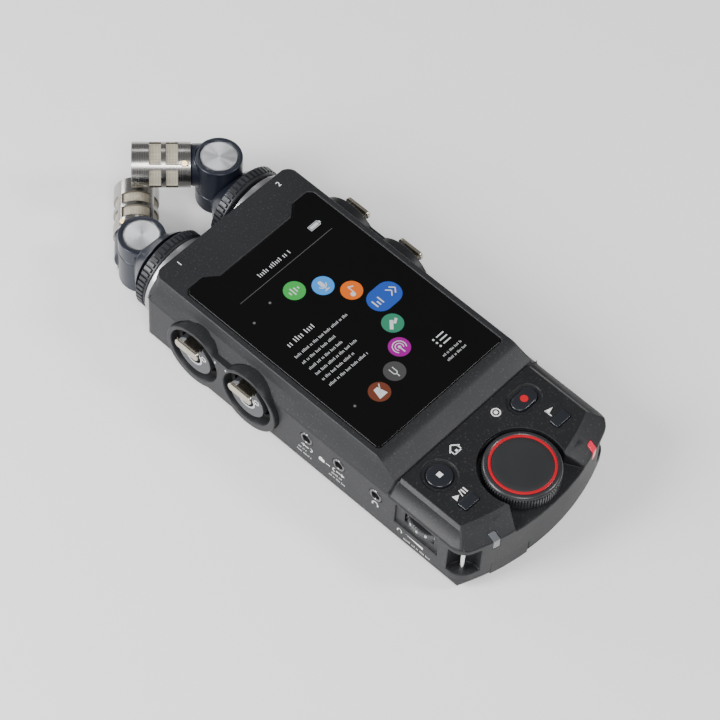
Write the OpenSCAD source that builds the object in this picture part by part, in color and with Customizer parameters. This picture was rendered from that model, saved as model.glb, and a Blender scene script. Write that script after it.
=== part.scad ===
// Portable field recorder, lying on its back with the screen up.
// +Y points to the microphones, +X to the right of someone reading the screen.
// The origin is at the bottom centre of the box of the whole object.

/* [Case] */
// Width across the side walls
case_w = 76.6; // [76:0.1:77.4]
// Furthest point of the rounded bottom end
end_y = -104.8; // [-105.2:0.1:-104.6]
// Flat top end, where the microphones are fixed
top_y = 54.2; // [54:0.1:54.6]
// Height of the screen glass above the table
glass_z = 35; // [34.8:0.1:35.4]
// Height of the control panel
panel_z = 30.4; // [30:0.1:30.6]
// Height of the joint between the front and back covers
split_z = 6; // [6:0.1:6.2]
// Thickness of the walls
wall = 2.2; // [2:0.1:2.4]

/* [Screen] */
// Width of the glass
glass_w = 63; // [62.6:0.1:63.2]
// Lower edge of the glass
glass_y0 = -51.7; // [-52:0.1:-51.5]
// Length of the glass without its two ears
glass_l = 88.6; // [88:0.1:88.8]
// Length of the two ears
ear_l = 3.9; // [3.6:0.1:4]

/* [Controls] */
// Middle of the jog dial along the case
dial_y = -89.5; // [-89.8:0.1:-89.3]
// Radius of the jog dial
dial_r = 14.1; // [14:0.1:14.3]
// Number of ribs round the jog dial
dial_ribs = 72; // [60:4:80]
// Travel of each button
button_travel = 0.5; // [0.3:0.1:0.6]
// Radius of the volume wheel
wheel_r = 10; // [9.8:0.1:10.2]

/* [Inlets] */
// Places of the combo inlets along the case
jack_y = [27.9, 2];
// Height of the inlet centres and of the microphone axes
axis_z = 17.4; // [17.2:0.1:17.5]
// How far the inlet pads reach from the middle of the case
pad_x = 40.4; // [40.3:0.1:40.6]
// Places of the 3.5 mm sockets along the case
mini_y = [-24.9, -40.2, -57.5];
// Height of the 3.5 mm sockets
mini_z = 19.2; // [19:0.1:19.3]

/* [Microphones] */
// Distance of each microphone axis from the middle
mic_x = 19.6; // [19.4:0.1:19.8]
// Pivot of the turning arms along the case
pivot_y = 74.8; // [74.6:0.1:75]
// Radius of the pivot barrel
barrel_r = 8.7; // [8.6:0.1:8.8]
// Radius of a capsule cage
cage_r = 8.35; // [8.2:0.05:8.4]
// Height of a capsule above or below its microphone axis
capsule_rise = 8.75; // [8.7:0.05:8.8]
// Number of ribs round a lock ring
ring_ribs = 48; // [40:4:60]

/* [Hidden] */
$fn = 64;
eps = 0.1;

// Case levels and curves
half_w = case_w / 2;
chamfer_z = 25.1;
foot_h = 0.8;
end_r = 90;
floor_t = 1.8;
top_t = 1.2;
well_z = 24.2;
ceiling_z = 22;
panel_half_w = 32.2;
panel_end_y = -96.8;
block_y = -63.1;
crest_half_w = 34.1;
top_corner_r = 4.5;
block_half_w = 35;
crest_y = -54.6;

// Corner pocket that a strap passes through, and its post
strap_c = [36.6, -97];
strap_r = 6.5;
strap_z = [9.8, 22.9];
post_c = [34.4, -94.5];
post_r = 0.95;

// Batteries, board and door
cell_r = 7.25;
cell_l = 50.5;
cell_y = -68;
cell_z = 10;
cell_gap = 14.6;
bay_x = 30.4;
bay_y = [-71.8, -14.6];
door_y = [-71.1, -14.9];
board_z = 28.8;
board_t = 1.6;
door_t = 1.6;

// Back: screws, tripod bush and speaker
screw_places = [[-33, -80], [33, -80], [-33, 47.5], [33, 47.5], [0, -78], [0, 48.5]];
bush_y = 27;
speaker_y = 4;

// Buttons: centre, half sizes and corner radius
stop_c = [-22.5, -71.8];
stop_r = 4.8;
record_c = [20.9, -71.7];
record_half = [5.4, 3.2];
play_c = [-23.2, -85.7];
mark_c = [23.7, -85.8];
key_half = [3.5, 2];
button_gap = 0.15;
button_top = panel_z + 0.5;
button_foot = 26.7;
switch_z = 22.1;

// Dial, its ring and its well
well_r = 15.75;
dial_z = [24.9, 31.95];
ring_r = [10.95, 12];
shaft_r = 3;
running_gap = 0.05;

// Volume wheel
wheel_c = [-29, -77.1];
wheel_z = [16.8, 21];
wheel_bore_r = 1.5;

// Combo inlets
pad_r = 13.5;
pad_z = 16.3;
pad_waist = [12.6, 8.4];
inlet_r = 11.3;
insert_r = 8;
latch_half = 3.4;
latch_head = [5.5, 1.9];
latch_head_x = 42.9;
latch_rise = [5.9, 7.1];
latch_x = [30.4, 44.2];
latch_travel = 1.2;
plug_r = 3.2;
plug_l = 19;

// 3.5 mm sockets
mini_rim_r = 2.8;
mini_bore_r = 1.8;
mini_l = 13;

// Microphone fixing
seat_r = 16.5;
seat_y = 56.8;
spigot_r = 11;
hub_r = 11;
lock_r = 16.2;
lock_l = 5;
lock_y = [57.4, 58.7];
plug_stub_r = 8.4;
cone_y = [63.9, 71.4];
cone_r = [14, 7.4];

// Microphone pivot, arm and capsule
barrel_low = -6.7;
barrel_split = 0.9;
barrel_top = 17;
disc_r = 6.8;
disc_t = 0.9;
pin_r = 3;
arm_r = 7.8;
arm_offset = 1.7;
cage_s = [10.1, 31.6];
cage_t = 0.8;
window_s = [14.8, 20.9];
window_l = 4.25;
window_w = 10.2;
screw_angles = [55, 235];
cage_screw_s = 12.4;
cage_screw_r = 1.1;

// Light pipes in the bottom end
light_x = 25.2;
light_z = [20.6, 26.9];

// Right side and bottom end openings
switch_c = [-26, 15];
usb_c = [-44, 14];
card_c = [-63, 19.6];
card_half = [7.5, 2.6];
card_hinge_r = 0.7;
adapter_x = [-26, -10.4];
adapter_z = [3.4, 10.3];

// Points of the arc round a centre, from one angle to another
function arc(c, r, a0, a1, n) =
    [for (i = [0:n]) c + r * [cos(a0 + (a1 - a0) * i / n), sin(a0 + (a1 - a0) * i / n)]];

// Plan outline: straight sides, a bowed bottom end and four round corners
function plan(hw, y0, y1, bow, rb, rt) =
    let (
        cy = y0 + bow,
        cc = [hw - rb, cy - sqrt(pow(bow - rb, 2) - pow(hw - rb, 2))],
        a = atan2(cc[1] - cy, cc[0])
    )
    concat(
        arc([hw - rt, y1 - rt], rt, 90, 0, 4),
        arc(cc, rb, 0, a, 5),
        [for (i = [1:9]) [0, cy] + bow * [cos(a - (180 + 2 * a) * i / 10),
            sin(a - (180 + 2 * a) * i / 10)]],
        arc([-cc[0], cc[1]], rb, 180 - a, 180, 5),
        arc([-(hw - rt), y1 - rt], rt, 180, 90, 4)
    );

// Ribbed outline of a knob
function ribbed(r, depth, ribs) =
    [for (i = [0:ribs * 4 - 1])
        (i % 4 < 2 ? r : r - depth) * [cos(i * 90 / ribs), sin(i * 90 / ribs)]];

// Shapes on the left are mirror images of those on the right
module on_side(side) {
    if (side > 0) children();
    else mirror([1, 0, 0]) children();
}

// Microphone parts are drawn round the right-hand pivot; the left one is turned over
module on_mic(side) {
    translate([side * mic_x, 0, axis_z])
        rotate([0, side > 0 ? 0 : 180, 0])
            children();
}

// Cylinder along +Y from y0 to y1
module rod_y(r, y0, y1) {
    translate([0, y0, 0])
        rotate([-90, 0, 0])
            cylinder(r = r, h = y1 - y0);
}

// Cylinder along +X from x0 to x1
module rod_x(r, x0, x1) {
    translate([x0, 0, 0])
        rotate([0, 90, 0])
            cylinder(r = r, h = x1 - x0);
}

// Box between two corners
module block(a, b) {
    translate(a)
        cube(b - a);
}

// Capsule frame: +Z runs along the capsule axis, out from the pivot
module on_capsule() {
    translate([arm_offset, pivot_y + arm_offset, capsule_rise])
        rotate([-90, 0, 45])
            children();
}

// Upright prism with rounded ends
module key(c, half, r, z0, z1) {
    translate([c[0], c[1], z0])
        linear_extrude(z1 - z0)
            union() {
                square([2 * half[0], 2 * (half[1] - r)], center = true);
                square([2 * (half[0] - r), 2 * half[1]], center = true);
                for (x = [-1, 1], y = [-1, 1])
                    translate([x * (half[0] - r), y * (half[1] - r)])
                        circle(r = r);
            }
}

// Straight-sided body of the case between two heights
module case_slab(z0, z1) {
    translate([0, 0, z0])
        linear_extrude(z1 - z0)
            polygon(plan(half_w, end_y, top_y, end_r, 7, 3));
}

// Cutter that shapes both long sides: its section is drawn outwards from the wall
module trim_sides(section, y0, y1) {
    for (side = [-1, 1])
        on_side(side)
            translate([half_w, y1, 0])
                rotate([90, 0, 0])
                    linear_extrude(y1 - y0)
                        polygon(section);
}

// The same cutter swept round the bowed bottom end
module trim_end(section) {
    translate([0, end_y + end_r, 0])
        rotate([0, 0, -125])
            rotate_extrude(angle = 70, $fn = 180)
                translate([end_r, 0])
                    polygon(section);
}

// The same cutter swept round one corner on each side, just clear of the straight cuts
module trim_corner(section, c, a0, a1) {
    for (side = [-1, 1])
        on_side(side)
            translate([c[0], c[1], 0])
                rotate([0, 0, a0])
                    rotate_extrude(angle = a1 - a0, $fn = 180)
                        translate([half_w - c[0] + 0.1, 0])
                            polygon(section);
}

// Lower part of the case with the wide chamfer round the control panel
module case_base(z0) {
    slope = (chamfer_z - panel_z) / (half_w - panel_half_w);
    run = half_w - panel_half_w + 1;
    end_run = panel_end_y - end_y + 1;
    end_slope = (panel_z - chamfer_z) / (panel_end_y - end_y);
    difference() {
        case_slab(z0, panel_z);
        trim_sides([[0.5, chamfer_z + slope * 0.5], [9, chamfer_z - 3], [9, 50],
            [-run, chamfer_z - slope * run]], -130, block_y);
        trim_end([[0.5, chamfer_z - end_slope * 0.5], [9, chamfer_z - 3], [9, 50],
            [-end_run, chamfer_z + end_slope * end_run]]);
    }
}

// Raised part of the case that frames the screen
module case_outer() {
    edge = [half_w - block_half_w, half_w - crest_half_w];
    edge_z = chamfer_z + 0.4;
    slope = (panel_z - edge_z) / edge[0];
    difference() {
        union() {
            case_base(split_z);
            intersection() {
                case_slab(split_z, glass_z);
                block([-50, block_y, 0], [50, 60, 50]);
            }
        }
        trim_sides([[0.5, edge_z - slope * 0.5], [9, edge_z - 3], [9, 50],
            [-edge[1] - 0.2, glass_z + 1], [-edge[1], glass_z], [-edge[0], panel_z]],
            block_y, 60);
        trim_corner([[0.5, edge_z - slope * 0.5], [9, edge_z - 3], [9, 50],
            [-edge[1] - 0.2, glass_z + 1], [-edge[1], glass_z], [-edge[0], panel_z]],
            [crest_half_w - top_corner_r, top_y - top_corner_r], 0, 90);
        // slope from the screen frame down to the control panel
        translate([60, 0, 0])
            rotate([90, 0, -90])
                linear_extrude(120)
                    polygon([[120, panel_z - top_t], [-block_y, panel_z - top_t],
                        [-block_y, panel_z], [-crest_y, glass_z], [-crest_y - 0.5, glass_z + 5],
                        [120, glass_z + 5]]);
    }
}

// Glass outline: two ears at the top corners
module glass_shape(grow) {
    hw = glass_w / 2 + grow;
    y0 = glass_y0 - grow;
    y1 = glass_y0 + glass_l + grow;
    y2 = y1 + ear_l;
    ear = [18.2 - grow, 22.9 - grow, hw - 1.7];
    polygon(concat(
        [[ear[0], y1], [ear[1], y2], [ear[2], y2], [hw, y2 - 1.7]],
        arc([hw - 1.5, y0 + 1.5], 1.5, 0, -90, 4),
        arc([-(hw - 1.5), y0 + 1.5], 1.5, -90, -180, 4),
        [[-hw, y2 - 1.7], [-ear[2], y2], [-ear[1], y2], [-ear[0], y1]]
    ));
}

// Round well of the dial and the scoop that opens it to the bottom end
module dial_scoop(z) {
    translate([0, dial_y, z])
        cylinder(r = well_r, h = 12);
    translate([0, 0, z])
        linear_extrude(12)
            polygon([[-14, -95.9], [-19.4, -106], [19.4, -106], [14, -95.9]]);
}

// Opening of each combo pad through the side walls
module pad_shape(grow, x0, x1) {
    for (y = jack_y)
        translate([0, y, pad_z])
            rod_x(pad_r + grow, x0, x1);
    block([x0, jack_y[1], axis_z - pad_waist[0] - grow],
        [x1, jack_y[0], axis_z + pad_waist[1] + grow]);
}

// Solid corner behind each strap pocket
module strap_block(side, r, z0, z1) {
    translate([side * strap_c[0], strap_c[1], z0])
        cylinder(r = r, h = z1 - z0);
}

// Box that a light pipe fills, before it is cut to the shape of the case
module light_pipe(side, grow) {
    block([side * light_x - 1.3 - grow, -103.6 - grow, light_z[0] - grow],
        [side * light_x + 1.3 + grow, -97.5, light_z[1] + grow]);
}

module front_cover() {
    color([0.16, 0.16, 0.17])
    difference() {
        case_outer();
        // room inside, with solid corners left for the strap pockets
        difference() {
            translate([0, 0, split_z - 1])
                linear_extrude(ceiling_z - split_z + 1)
                    polygon(plan(half_w - wall, end_y + wall, top_y - wall, end_r, 5, 1));
            for (side = [-1, 1])
                strap_block(side, strap_r + 1.8, split_z - 2, ceiling_z + 1);
        }
        block([-32, -60, ceiling_z - 1], [32, top_y - wall, 31.8]);
        // glass pocket and the window of the display
        translate([0, 0, glass_z - 1.05])
            linear_extrude(3)
                glass_shape(0.12);
        block([-28.6, -49.8, 30], [28.6, 34.9, glass_z + 1]);
        dial_scoop(well_z);
        translate([0, dial_y, ceiling_z - 1])
            cylinder(r = shaft_r + 1, h = 5);
        // room under each button
        translate([stop_c[0], stop_c[1], ceiling_z - 1])
            cylinder(r = stop_r + 1.2, h = 12);
        key(record_c, record_half + [1.2, 1.2], 4, ceiling_z - 1, 32);
        key(play_c, key_half + [1.2, 1.2], 1, ceiling_z - 1, 32);
        key(mark_c, key_half + [1.2, 1.2], 1, ceiling_z - 1, 32);
        // side openings
        for (side = [-1, 1])
            on_side(side) pad_shape(0.08, half_w - wall - 4.4, half_w + 5);
        for (y = mini_y)
            translate([0, y, mini_z])
                rod_x(mini_rim_r + 0.1, -half_w - 2, -half_w + wall + 2);
        block([-half_w - 1, -86.2, 12.9], [-half_w + 0.9, -66.6, 23.8]);
        translate([wheel_c[0], wheel_c[1], wheel_z[0] - 0.5])
            cylinder(r = wheel_r + 0.6, h = wheel_z[1] - wheel_z[0] + 1);
        for (side = [-1, 1])
            strap_block(side, strap_r, strap_z[0], strap_z[1]);
        light_pipe(-1, 0.05);
        light_pipe(1, 0.05);
        // right side: power switch, USB socket and card door
        block([half_w - 4, switch_c[0] - 5, switch_c[1] - 1.6],
            [half_w + 1, switch_c[0] + 5, switch_c[1] + 1.6]);
        block([half_w - 4, usb_c[0] - 4.6, usb_c[1] - 1.75],
            [half_w + 1, usb_c[0] + 4.6, usb_c[1] + 1.75]);
        block([half_w - 4, card_c[0] - card_half[0] - 0.2, card_c[1] - card_half[1] - 0.2],
            [half_w + 1, card_c[0] + card_half[0] + 0.2, card_c[1] + card_half[1] + 0.2]);
        // bottom end: adapter cover
        block([adapter_x[0] - 0.1, end_y - 2, adapter_z[0] - 0.1],
            [adapter_x[1] + 0.1, -98.5, adapter_z[1] + 0.1]);
        // top end: microphone spigots
        for (side = [-1, 1])
            translate([side * mic_x, 0, axis_z])
                rod_y(spigot_r + 0.05, top_y - wall - 1, top_y + 1);
    }
}

module rear_cover() {
    rounding = [[0.4, split_z], [0, split_z - 0.4], [-1.1, split_z - 3.3],
        [-3.7, foot_h], [-4.2, foot_h - 0.5], [-4.2, -5], [9, -5], [9, split_z]];
    color([0.15, 0.15, 0.16])
    difference() {
        case_slab(foot_h, split_z);
        trim_sides(rounding, -130, 70);
        trim_end(rounding);
        difference() {
            translate([0, 0, foot_h + floor_t])
                linear_extrude(10)
                    polygon(plan(half_w - wall - 1.4, end_y + wall + 1.4, top_y - wall - 1,
                        end_r, 5, 1));
            // bosses for the case screws and a wall round the battery bay
            for (p = screw_places)
                translate([p[0], p[1], 0])
                    cylinder(r = 3, h = split_z);
        }
        // battery opening
        block([-bay_x, bay_y[0], -1], [bay_x, bay_y[1], foot_h + floor_t + 1]);
        for (side = [-1, 1])
            on_side(side) pad_shape(0.08, half_w - wall - 4.4, half_w + 5);
        for (p = screw_places)
            translate([p[0], p[1], foot_h - 1])
                cylinder(r = 1.1, h = 20);
        for (p = screw_places)
            translate([p[0], p[1], foot_h - 1])
                cylinder(r = 2.2, h = 2.3);
        translate([0, bush_y, foot_h - 1])
            cylinder(r = 5.05, h = 10);
        // slots in front of the speaker
        for (i = [-3:3])
            block([-6, speaker_y + i * 2.4 - 0.5, -1], [6, speaker_y + i * 2.4 + 0.5, 5]);
        block([adapter_x[0] - 0.1, end_y - 2, adapter_z[0] - 0.1],
            [adapter_x[1] + 0.1, -98.5, adapter_z[1] + 0.1]);
    }
}

module control_panel() {
    color([0.12, 0.12, 0.13])
    difference() {
        intersection() {
            case_base(panel_z - top_t + 0.02);
            block([-50, -120, 0], [50, block_y - 0.08, panel_z + 1]);
        }
        dial_scoop(panel_z - 4);
        // holes of the buttons, and a shallow dish round the two large ones
        translate([stop_c[0], stop_c[1], panel_z - 2])
            cylinder(r = stop_r + button_gap, h = 4);
        translate([stop_c[0], stop_c[1], panel_z - 0.5])
            cylinder(r = stop_r + 1.6, h = 2);
        key(record_c, record_half + [button_gap, button_gap], 3.2, panel_z - 2, 33);
        key(record_c, record_half + [1.5, 1.5], 4.6, panel_z - 0.5, 33);
        key(play_c, key_half + [button_gap, button_gap], 0.7, panel_z - 2, 33);
        key(mark_c, key_half + [button_gap, button_gap], 0.7, panel_z - 2, 33);
    }
}

module screen_glass() {
    color([0.02, 0.02, 0.02])
    translate([0, 0, glass_z - 1])
        linear_extrude(1)
            glass_shape(0);
}

module display_module() {
    color([0.05, 0.05, 0.06])
    block([-28.4, -49.6, 31.5], [28.4, 34.7, glass_z - 1.05]);
}

module main_board() {
    color([0.05, 0.3, 0.15]) {
        block([-30.5, -58, board_z], [30.5, 50, board_z + board_t]);
        block([-12, 8, board_z - 1.2], [4, 24, board_z]);
        block([10, -40, board_z - 1], [22, -30, board_z]);
    }
}

module button_switches() {
    color("silver")
    for (c = [stop_c, record_c, play_c, mark_c])
        translate([c[0], c[1], switch_z]) {
            translate([-2.6, -2, 0])
                cube([5.2, 4, 3]);
            translate([0, 0, 3])
                cylinder(r = 1.2, h = 1);
        }
}

// Stem that presses the switch under a button
module stem(c) {
    translate([c[0], c[1], button_foot])
        cylinder(r = 1.6, h = panel_z - 2 - button_foot + eps);
}

module record_button() {
    color([0.13, 0.13, 0.14]) {
        key(record_c, record_half, 3.1, panel_z - 2, button_top);
        stem(record_c);
    }
}

module stop_button() {
    color([0.13, 0.13, 0.14]) {
        translate([stop_c[0], stop_c[1], panel_z - 2])
            cylinder(r = stop_r, h = button_top - panel_z + 2);
        stem(stop_c);
    }
}

module play_button() {
    color([0.13, 0.13, 0.14]) {
        key(play_c, key_half, 0.6, panel_z - 2, button_top);
        stem(play_c);
    }
}

module mark_button() {
    color([0.13, 0.13, 0.14]) {
        key(mark_c, key_half, 0.6, panel_z - 2, button_top);
        stem(mark_c);
    }
}

module dial_encoder() {
    color("silver")
    translate([0, dial_y, 0]) {
        translate([-6, -6, 14])
            cube([12, 12, 6]);
        translate([0, 0, 20])
            cylinder(r = shaft_r, h = 9.5);
    }
}

module jog_dial() {
    color([0.12, 0.12, 0.13])
    translate([0, dial_y, 0])
        difference() {
            union() {
                translate([0, 0, dial_z[0]])
                    linear_extrude(5.2)
                        polygon(ribbed(dial_r, 0.35, dial_ribs));
                translate([0, 0, dial_z[0] + 1])
                    cylinder(r = dial_r - 0.55, h = dial_z[1] - dial_z[0] - 1.6);
                translate([0, 0, dial_z[1] - 0.6])
                    cylinder(r1 = dial_r - 0.55, r2 = dial_r - 1.15, h = 0.6);
            }
            translate([0, 0, dial_z[0] - 1])
                cylinder(r = shaft_r + running_gap, h = 5.8);
            // groove that holds the ring
            translate([0, 0, dial_z[1] - 0.8])
                difference() {
                    cylinder(r = ring_r[1], h = 2);
                    translate([0, 0, -1])
                        cylinder(r = ring_r[0], h = 4);
                }
        }
}

module dial_ring() {
    color([0.85, 0.1, 0.15])
    translate([0, dial_y, dial_z[1] - 0.8])
        difference() {
            cylinder(r = ring_r[1], h = 0.85);
            translate([0, 0, -1])
                cylinder(r = ring_r[0], h = 3);
        }
}

module volume_wheel() {
    color([0.1, 0.1, 0.11])
    translate([wheel_c[0], wheel_c[1], wheel_z[0]])
        difference() {
            linear_extrude(wheel_z[1] - wheel_z[0])
                polygon(ribbed(wheel_r, 0.25, 48));
            translate([0, 0, -1])
                cylinder(r = wheel_bore_r + running_gap, h = 8);
        }
}

// Raised pad with the two round openings of the combo inlets
module jack_pad(side) {
    color([0.17, 0.17, 0.18])
    on_side(side)
        difference() {
            pad_shape(0, half_w - wall - 1.5, pad_x);
            for (y = jack_y)
                translate([0, y, axis_z])
                    rod_x(inlet_r, half_w - wall - 3, pad_x + 1);
        }
}

module jack_pad_left() {
    jack_pad(-1);
}

module jack_pad_right() {
    jack_pad(1);
}

// Inlet body: a cup with a round insert in it, bored for a 6.35 mm plug
module combo_jack() {
    difference() {
        union() {
            rod_x(inlet_r - 0.1, 20, 33.2);
            rod_x(insert_r, 30, 40.2);
        }
        difference() {
            rod_x(inlet_r - 1.7, 27, 34);
            rod_x(insert_r, 26, 40);
        }
        rod_x(plug_r, 40.2 - plug_l, 41);
        // room for the release tab and its travel
        block([latch_x[0] - latch_travel - 0.3, -latch_half - 0.3, latch_rise[0] - 0.15],
            [41, latch_half + 0.3, insert_r + 1.2]);
    }
}

module combo_jacks(side) {
    color([0.45, 0.46, 0.48])
    on_side(side)
        for (y = jack_y)
            translate([0, y, axis_z])
                combo_jack();
}

module combo_jacks_left() {
    combo_jacks(-1);
}

module combo_jacks_right() {
    combo_jacks(1);
}

module combo_contacts() {
    color([0.8, 0.7, 0.4])
    for (side = [-1, 1], y = jack_y, a = [-50, 0, 50])
        on_side(side)
            translate([0, y + 5.2 * sin(a) * 1.2, axis_z - 5 * cos(a) - 5.6])
                block([16.5, -0.6, 0], [19.9, 0.6, 1.4]);
}

// Release tab: a flat tongue with an oval thumb plate on its outer end
module latch(side, y) {
    r = latch_head[1] - 0.3;
    color([0.55, 0.5, 0.4])
    on_side(side)
        translate([0, y, axis_z + latch_rise[0]]) {
            block([latch_x[0], -latch_half, 0],
                [latch_head_x + eps, latch_half, latch_rise[1] - latch_rise[0]]);
            translate([latch_head_x, 0, latch_head[1] - 0.4])
                rotate([90, 0, 90])
                    linear_extrude(latch_x[1] - latch_head_x)
                        union() {
                            square([2 * latch_head[0], 2 * (latch_head[1] - r)], center = true);
                            square([2 * (latch_head[0] - r), 2 * latch_head[1]], center = true);
                            for (u = [-1, 1], v = [-1, 1])
                                translate([u * (latch_head[0] - r), v * (latch_head[1] - r)])
                                    circle(r = r);
                        }
        }
}

module latch_left_upper() {
    latch(-1, jack_y[0]);
}

module latch_left_lower() {
    latch(-1, jack_y[1]);
}

module latch_right_upper() {
    latch(1, jack_y[0]);
}

module latch_right_lower() {
    latch(1, jack_y[1]);
}

module mini_jacks() {
    color([0.1, 0.1, 0.1])
    for (y = mini_y)
        translate([0, y, mini_z])
            difference() {
                rod_x(mini_rim_r, -half_w + 0.1, -half_w + mini_l);
                rod_x(mini_bore_r, -half_w - 1, -half_w + mini_l + 1);
            }
}

module strap_posts() {
    color("silver")
    for (side = [-1, 1])
        translate([side * post_c[0], post_c[1], strap_z[0]])
            cylinder(r = post_r, h = strap_z[1] - strap_z[0]);
}

// Light pipe cut to the shape of the case, so it wraps over the edge
module light(side) {
    intersection() {
        case_base(split_z);
        light_pipe(side, 0);
    }
}

module peak_light() {
    color([0.85, 0.85, 0.88])
    light(-1);
}

module record_light() {
    color([0.9, 0.1, 0.1])
    light(1);
}

module battery_cells() {
    color([0.2, 0.35, 0.6])
    for (i = [-1.5:1:1.5])
        translate([i * cell_gap, 0, cell_z]) {
            rod_y(cell_r, cell_y, cell_y + cell_l - 1);
            rod_y(2.7, cell_y + cell_l - 1, cell_y + cell_l);
        }
}

module battery_contacts() {
    color("silver")
    for (i = [-1.5:1:1.5])
        translate([i * cell_gap, 0, cell_z]) {
            rod_y(4, cell_y - 2, cell_y - 0.1);
            block([-5, cell_y + cell_l + 0.1, -5], [5, cell_y + cell_l + 0.6, 5]);
        }
}

module battery_door() {
    color([0.15, 0.15, 0.16]) {
        block([-bay_x + 0.3, door_y[0] + door_t / 2, foot_h],
            [bay_x - 0.3, door_y[1], foot_h + door_t]);
        // rounded edge that the door turns on
        translate([0, door_y[0] + door_t / 2, foot_h + door_t / 2])
            rod_x(door_t / 2, -bay_x + 0.3, bay_x - 0.3);
    }
}

module adapter_cover() {
    color([0.16, 0.16, 0.17])
    intersection() {
        block([adapter_x[0], end_y - 2, adapter_z[0]], [adapter_x[1], -99.8, adapter_z[1]]);
        linear_extrude(20)
            polygon(plan(half_w - 0.2, end_y + 0.2, top_y, end_r, 7, 3));
    }
}

module adapter_connector() {
    color([0.3, 0.3, 0.3])
    block([-23.5, -97.9, 4.6], [-12.9, -93, 9.2]);
}

module card_slot() {
    color("silver")
    block([half_w - 19, card_c[0] - 7, card_c[1] - 1.2],
        [half_w - 4.4, card_c[0] + 7, card_c[1] + 1.2]);
}

module card_door() {
    color([0.15, 0.15, 0.16]) {
        block([half_w - 2 * card_hinge_r, card_c[0] - card_half[0],
            card_c[1] - card_half[1] + card_hinge_r],
            [half_w, card_c[0] + card_half[0], card_c[1] + card_half[1]]);
        // rounded edge that the door turns on
        translate([half_w - card_hinge_r, 0, card_c[1] - card_half[1] + card_hinge_r])
            rod_y(card_hinge_r, card_c[0] - card_half[0], card_c[0] + card_half[0]);
    }
}

module usb_port() {
    color("silver")
    difference() {
        block([half_w - 8, usb_c[0] - 4.5, usb_c[1] - 1.65],
            [half_w - 0.2, usb_c[0] + 4.5, usb_c[1] + 1.65]);
        block([half_w - 7, usb_c[0] - 4.2, usb_c[1] - 1.35],
            [half_w + 1, usb_c[0] + 4.2, usb_c[1] + 1.35]);
    }
}

module power_switch() {
    color([0.12, 0.12, 0.13])
    block([half_w - 1.6, switch_c[0] - 4.8, switch_c[1] - 1.4],
        [half_w + 0.6, switch_c[0] - 1.6, switch_c[1] + 1.4]);
}

module tripod_bush() {
    color("gold")
    translate([0, bush_y, foot_h + 0.05])
        difference() {
            cylinder(r = 5, h = 7.5);
            translate([0, 0, -1])
                cylinder(r = 2.6, h = 7.5);
        }
}

module rubber_feet() {
    color([0.05, 0.05, 0.05])
    for (x = [-28, 28], y = [-90, 42])
        translate([x, y, 0])
            cylinder(r = 4, h = foot_h);
}

module case_screws() {
    color("silver")
    for (p = screw_places)
        translate([p[0], p[1], foot_h + 0.1]) {
            cylinder(r = 2.1, h = 1.1);
            cylinder(r = 1, h = split_z - foot_h - 0.3);
        }
}

module speaker() {
    color([0.2, 0.2, 0.2])
    translate([0, speaker_y, foot_h + floor_t + 0.1])
        cylinder(r = 9.5, h = 4);
}

// Seat on the top end: a flange outside and a spigot with the socket inside
module mic_mount(side) {
    color([0.6, 0.6, 0.62])
    translate([side * mic_x, 0, axis_z])
        difference() {
            union() {
                rod_y(seat_r, top_y, seat_y);
                rod_y(spigot_r, top_y - 6, top_y + eps);
            }
            rod_y(plug_stub_r + 0.1, top_y - 4.9, seat_y + 1);
        }
}

module mic_mount_left() {
    mic_mount(-1);
}

module mic_mount_right() {
    mic_mount(1);
}

// Ribbed lock ring that turns on the hub of the neck
module lock_ring(side, y) {
    color([0.2, 0.2, 0.21])
    translate([side * mic_x, y, axis_z])
        rotate([-90, 0, 0])
            difference() {
                linear_extrude(lock_l)
                    polygon(ribbed(lock_r, 0.5, ring_ribs));
                translate([0, 0, -1])
                    cylinder(r = hub_r + running_gap, h = lock_l + 2);
            }
}

module lock_ring_left() {
    lock_ring(-1, lock_y[0]);
}

module lock_ring_right() {
    lock_ring(1, lock_y[1]);
}

// Fixed half of a microphone: plug, hub, cone, lower barrel and pivot pin
module mic_neck(side) {
    color([0.13, 0.14, 0.19])
    on_mic(side)
        difference() {
            union() {
                rod_y(plug_stub_r, top_y - 4.8, seat_y + 1);
                rod_y(hub_r, seat_y + 0.1, cone_y[0] + eps);
                translate([0, cone_y[0], 0])
                    rotate([-90, 0, 0])
                        cylinder(r1 = cone_r[0], r2 = cone_r[1], h = cone_y[1] - cone_y[0]);
                translate([0, pivot_y, barrel_low])
                    cylinder(r = barrel_r, h = barrel_split - barrel_low);
                translate([0, pivot_y, 0])
                    cylinder(r = pin_r, h = 13);
            }
            // clearance for the turning half
            difference() {
                translate([0, pivot_y, barrel_split])
                    cylinder(r = barrel_r + 0.3, h = 20);
                translate([0, pivot_y, 0])
                    cylinder(r = pin_r, h = 13);
            }
            // clearance for the capsule arm when it is turned outwards
            translate([0, pivot_y, 0])
                rotate([0, 0, -90])
                    translate([0, -pivot_y, 0])
                        on_capsule()
                            translate([0, 0, -0.3])
                                cylinder(r = arm_r + 0.35, h = 12);
            // seat of the lower disc
            translate([0, pivot_y, barrel_low - 5])
                cylinder(r = disc_r + 0.05, h = 5 + disc_t);
        }
}

module mic_neck_left() {
    mic_neck(-1);
}

module mic_neck_right() {
    mic_neck(1);
}

module neck_discs() {
    color([0.8, 0.8, 0.82])
    for (side = [-1, 1])
        on_mic(side)
            translate([0, pivot_y, barrel_low])
                cylinder(r = disc_r, h = disc_t);
}

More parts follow.
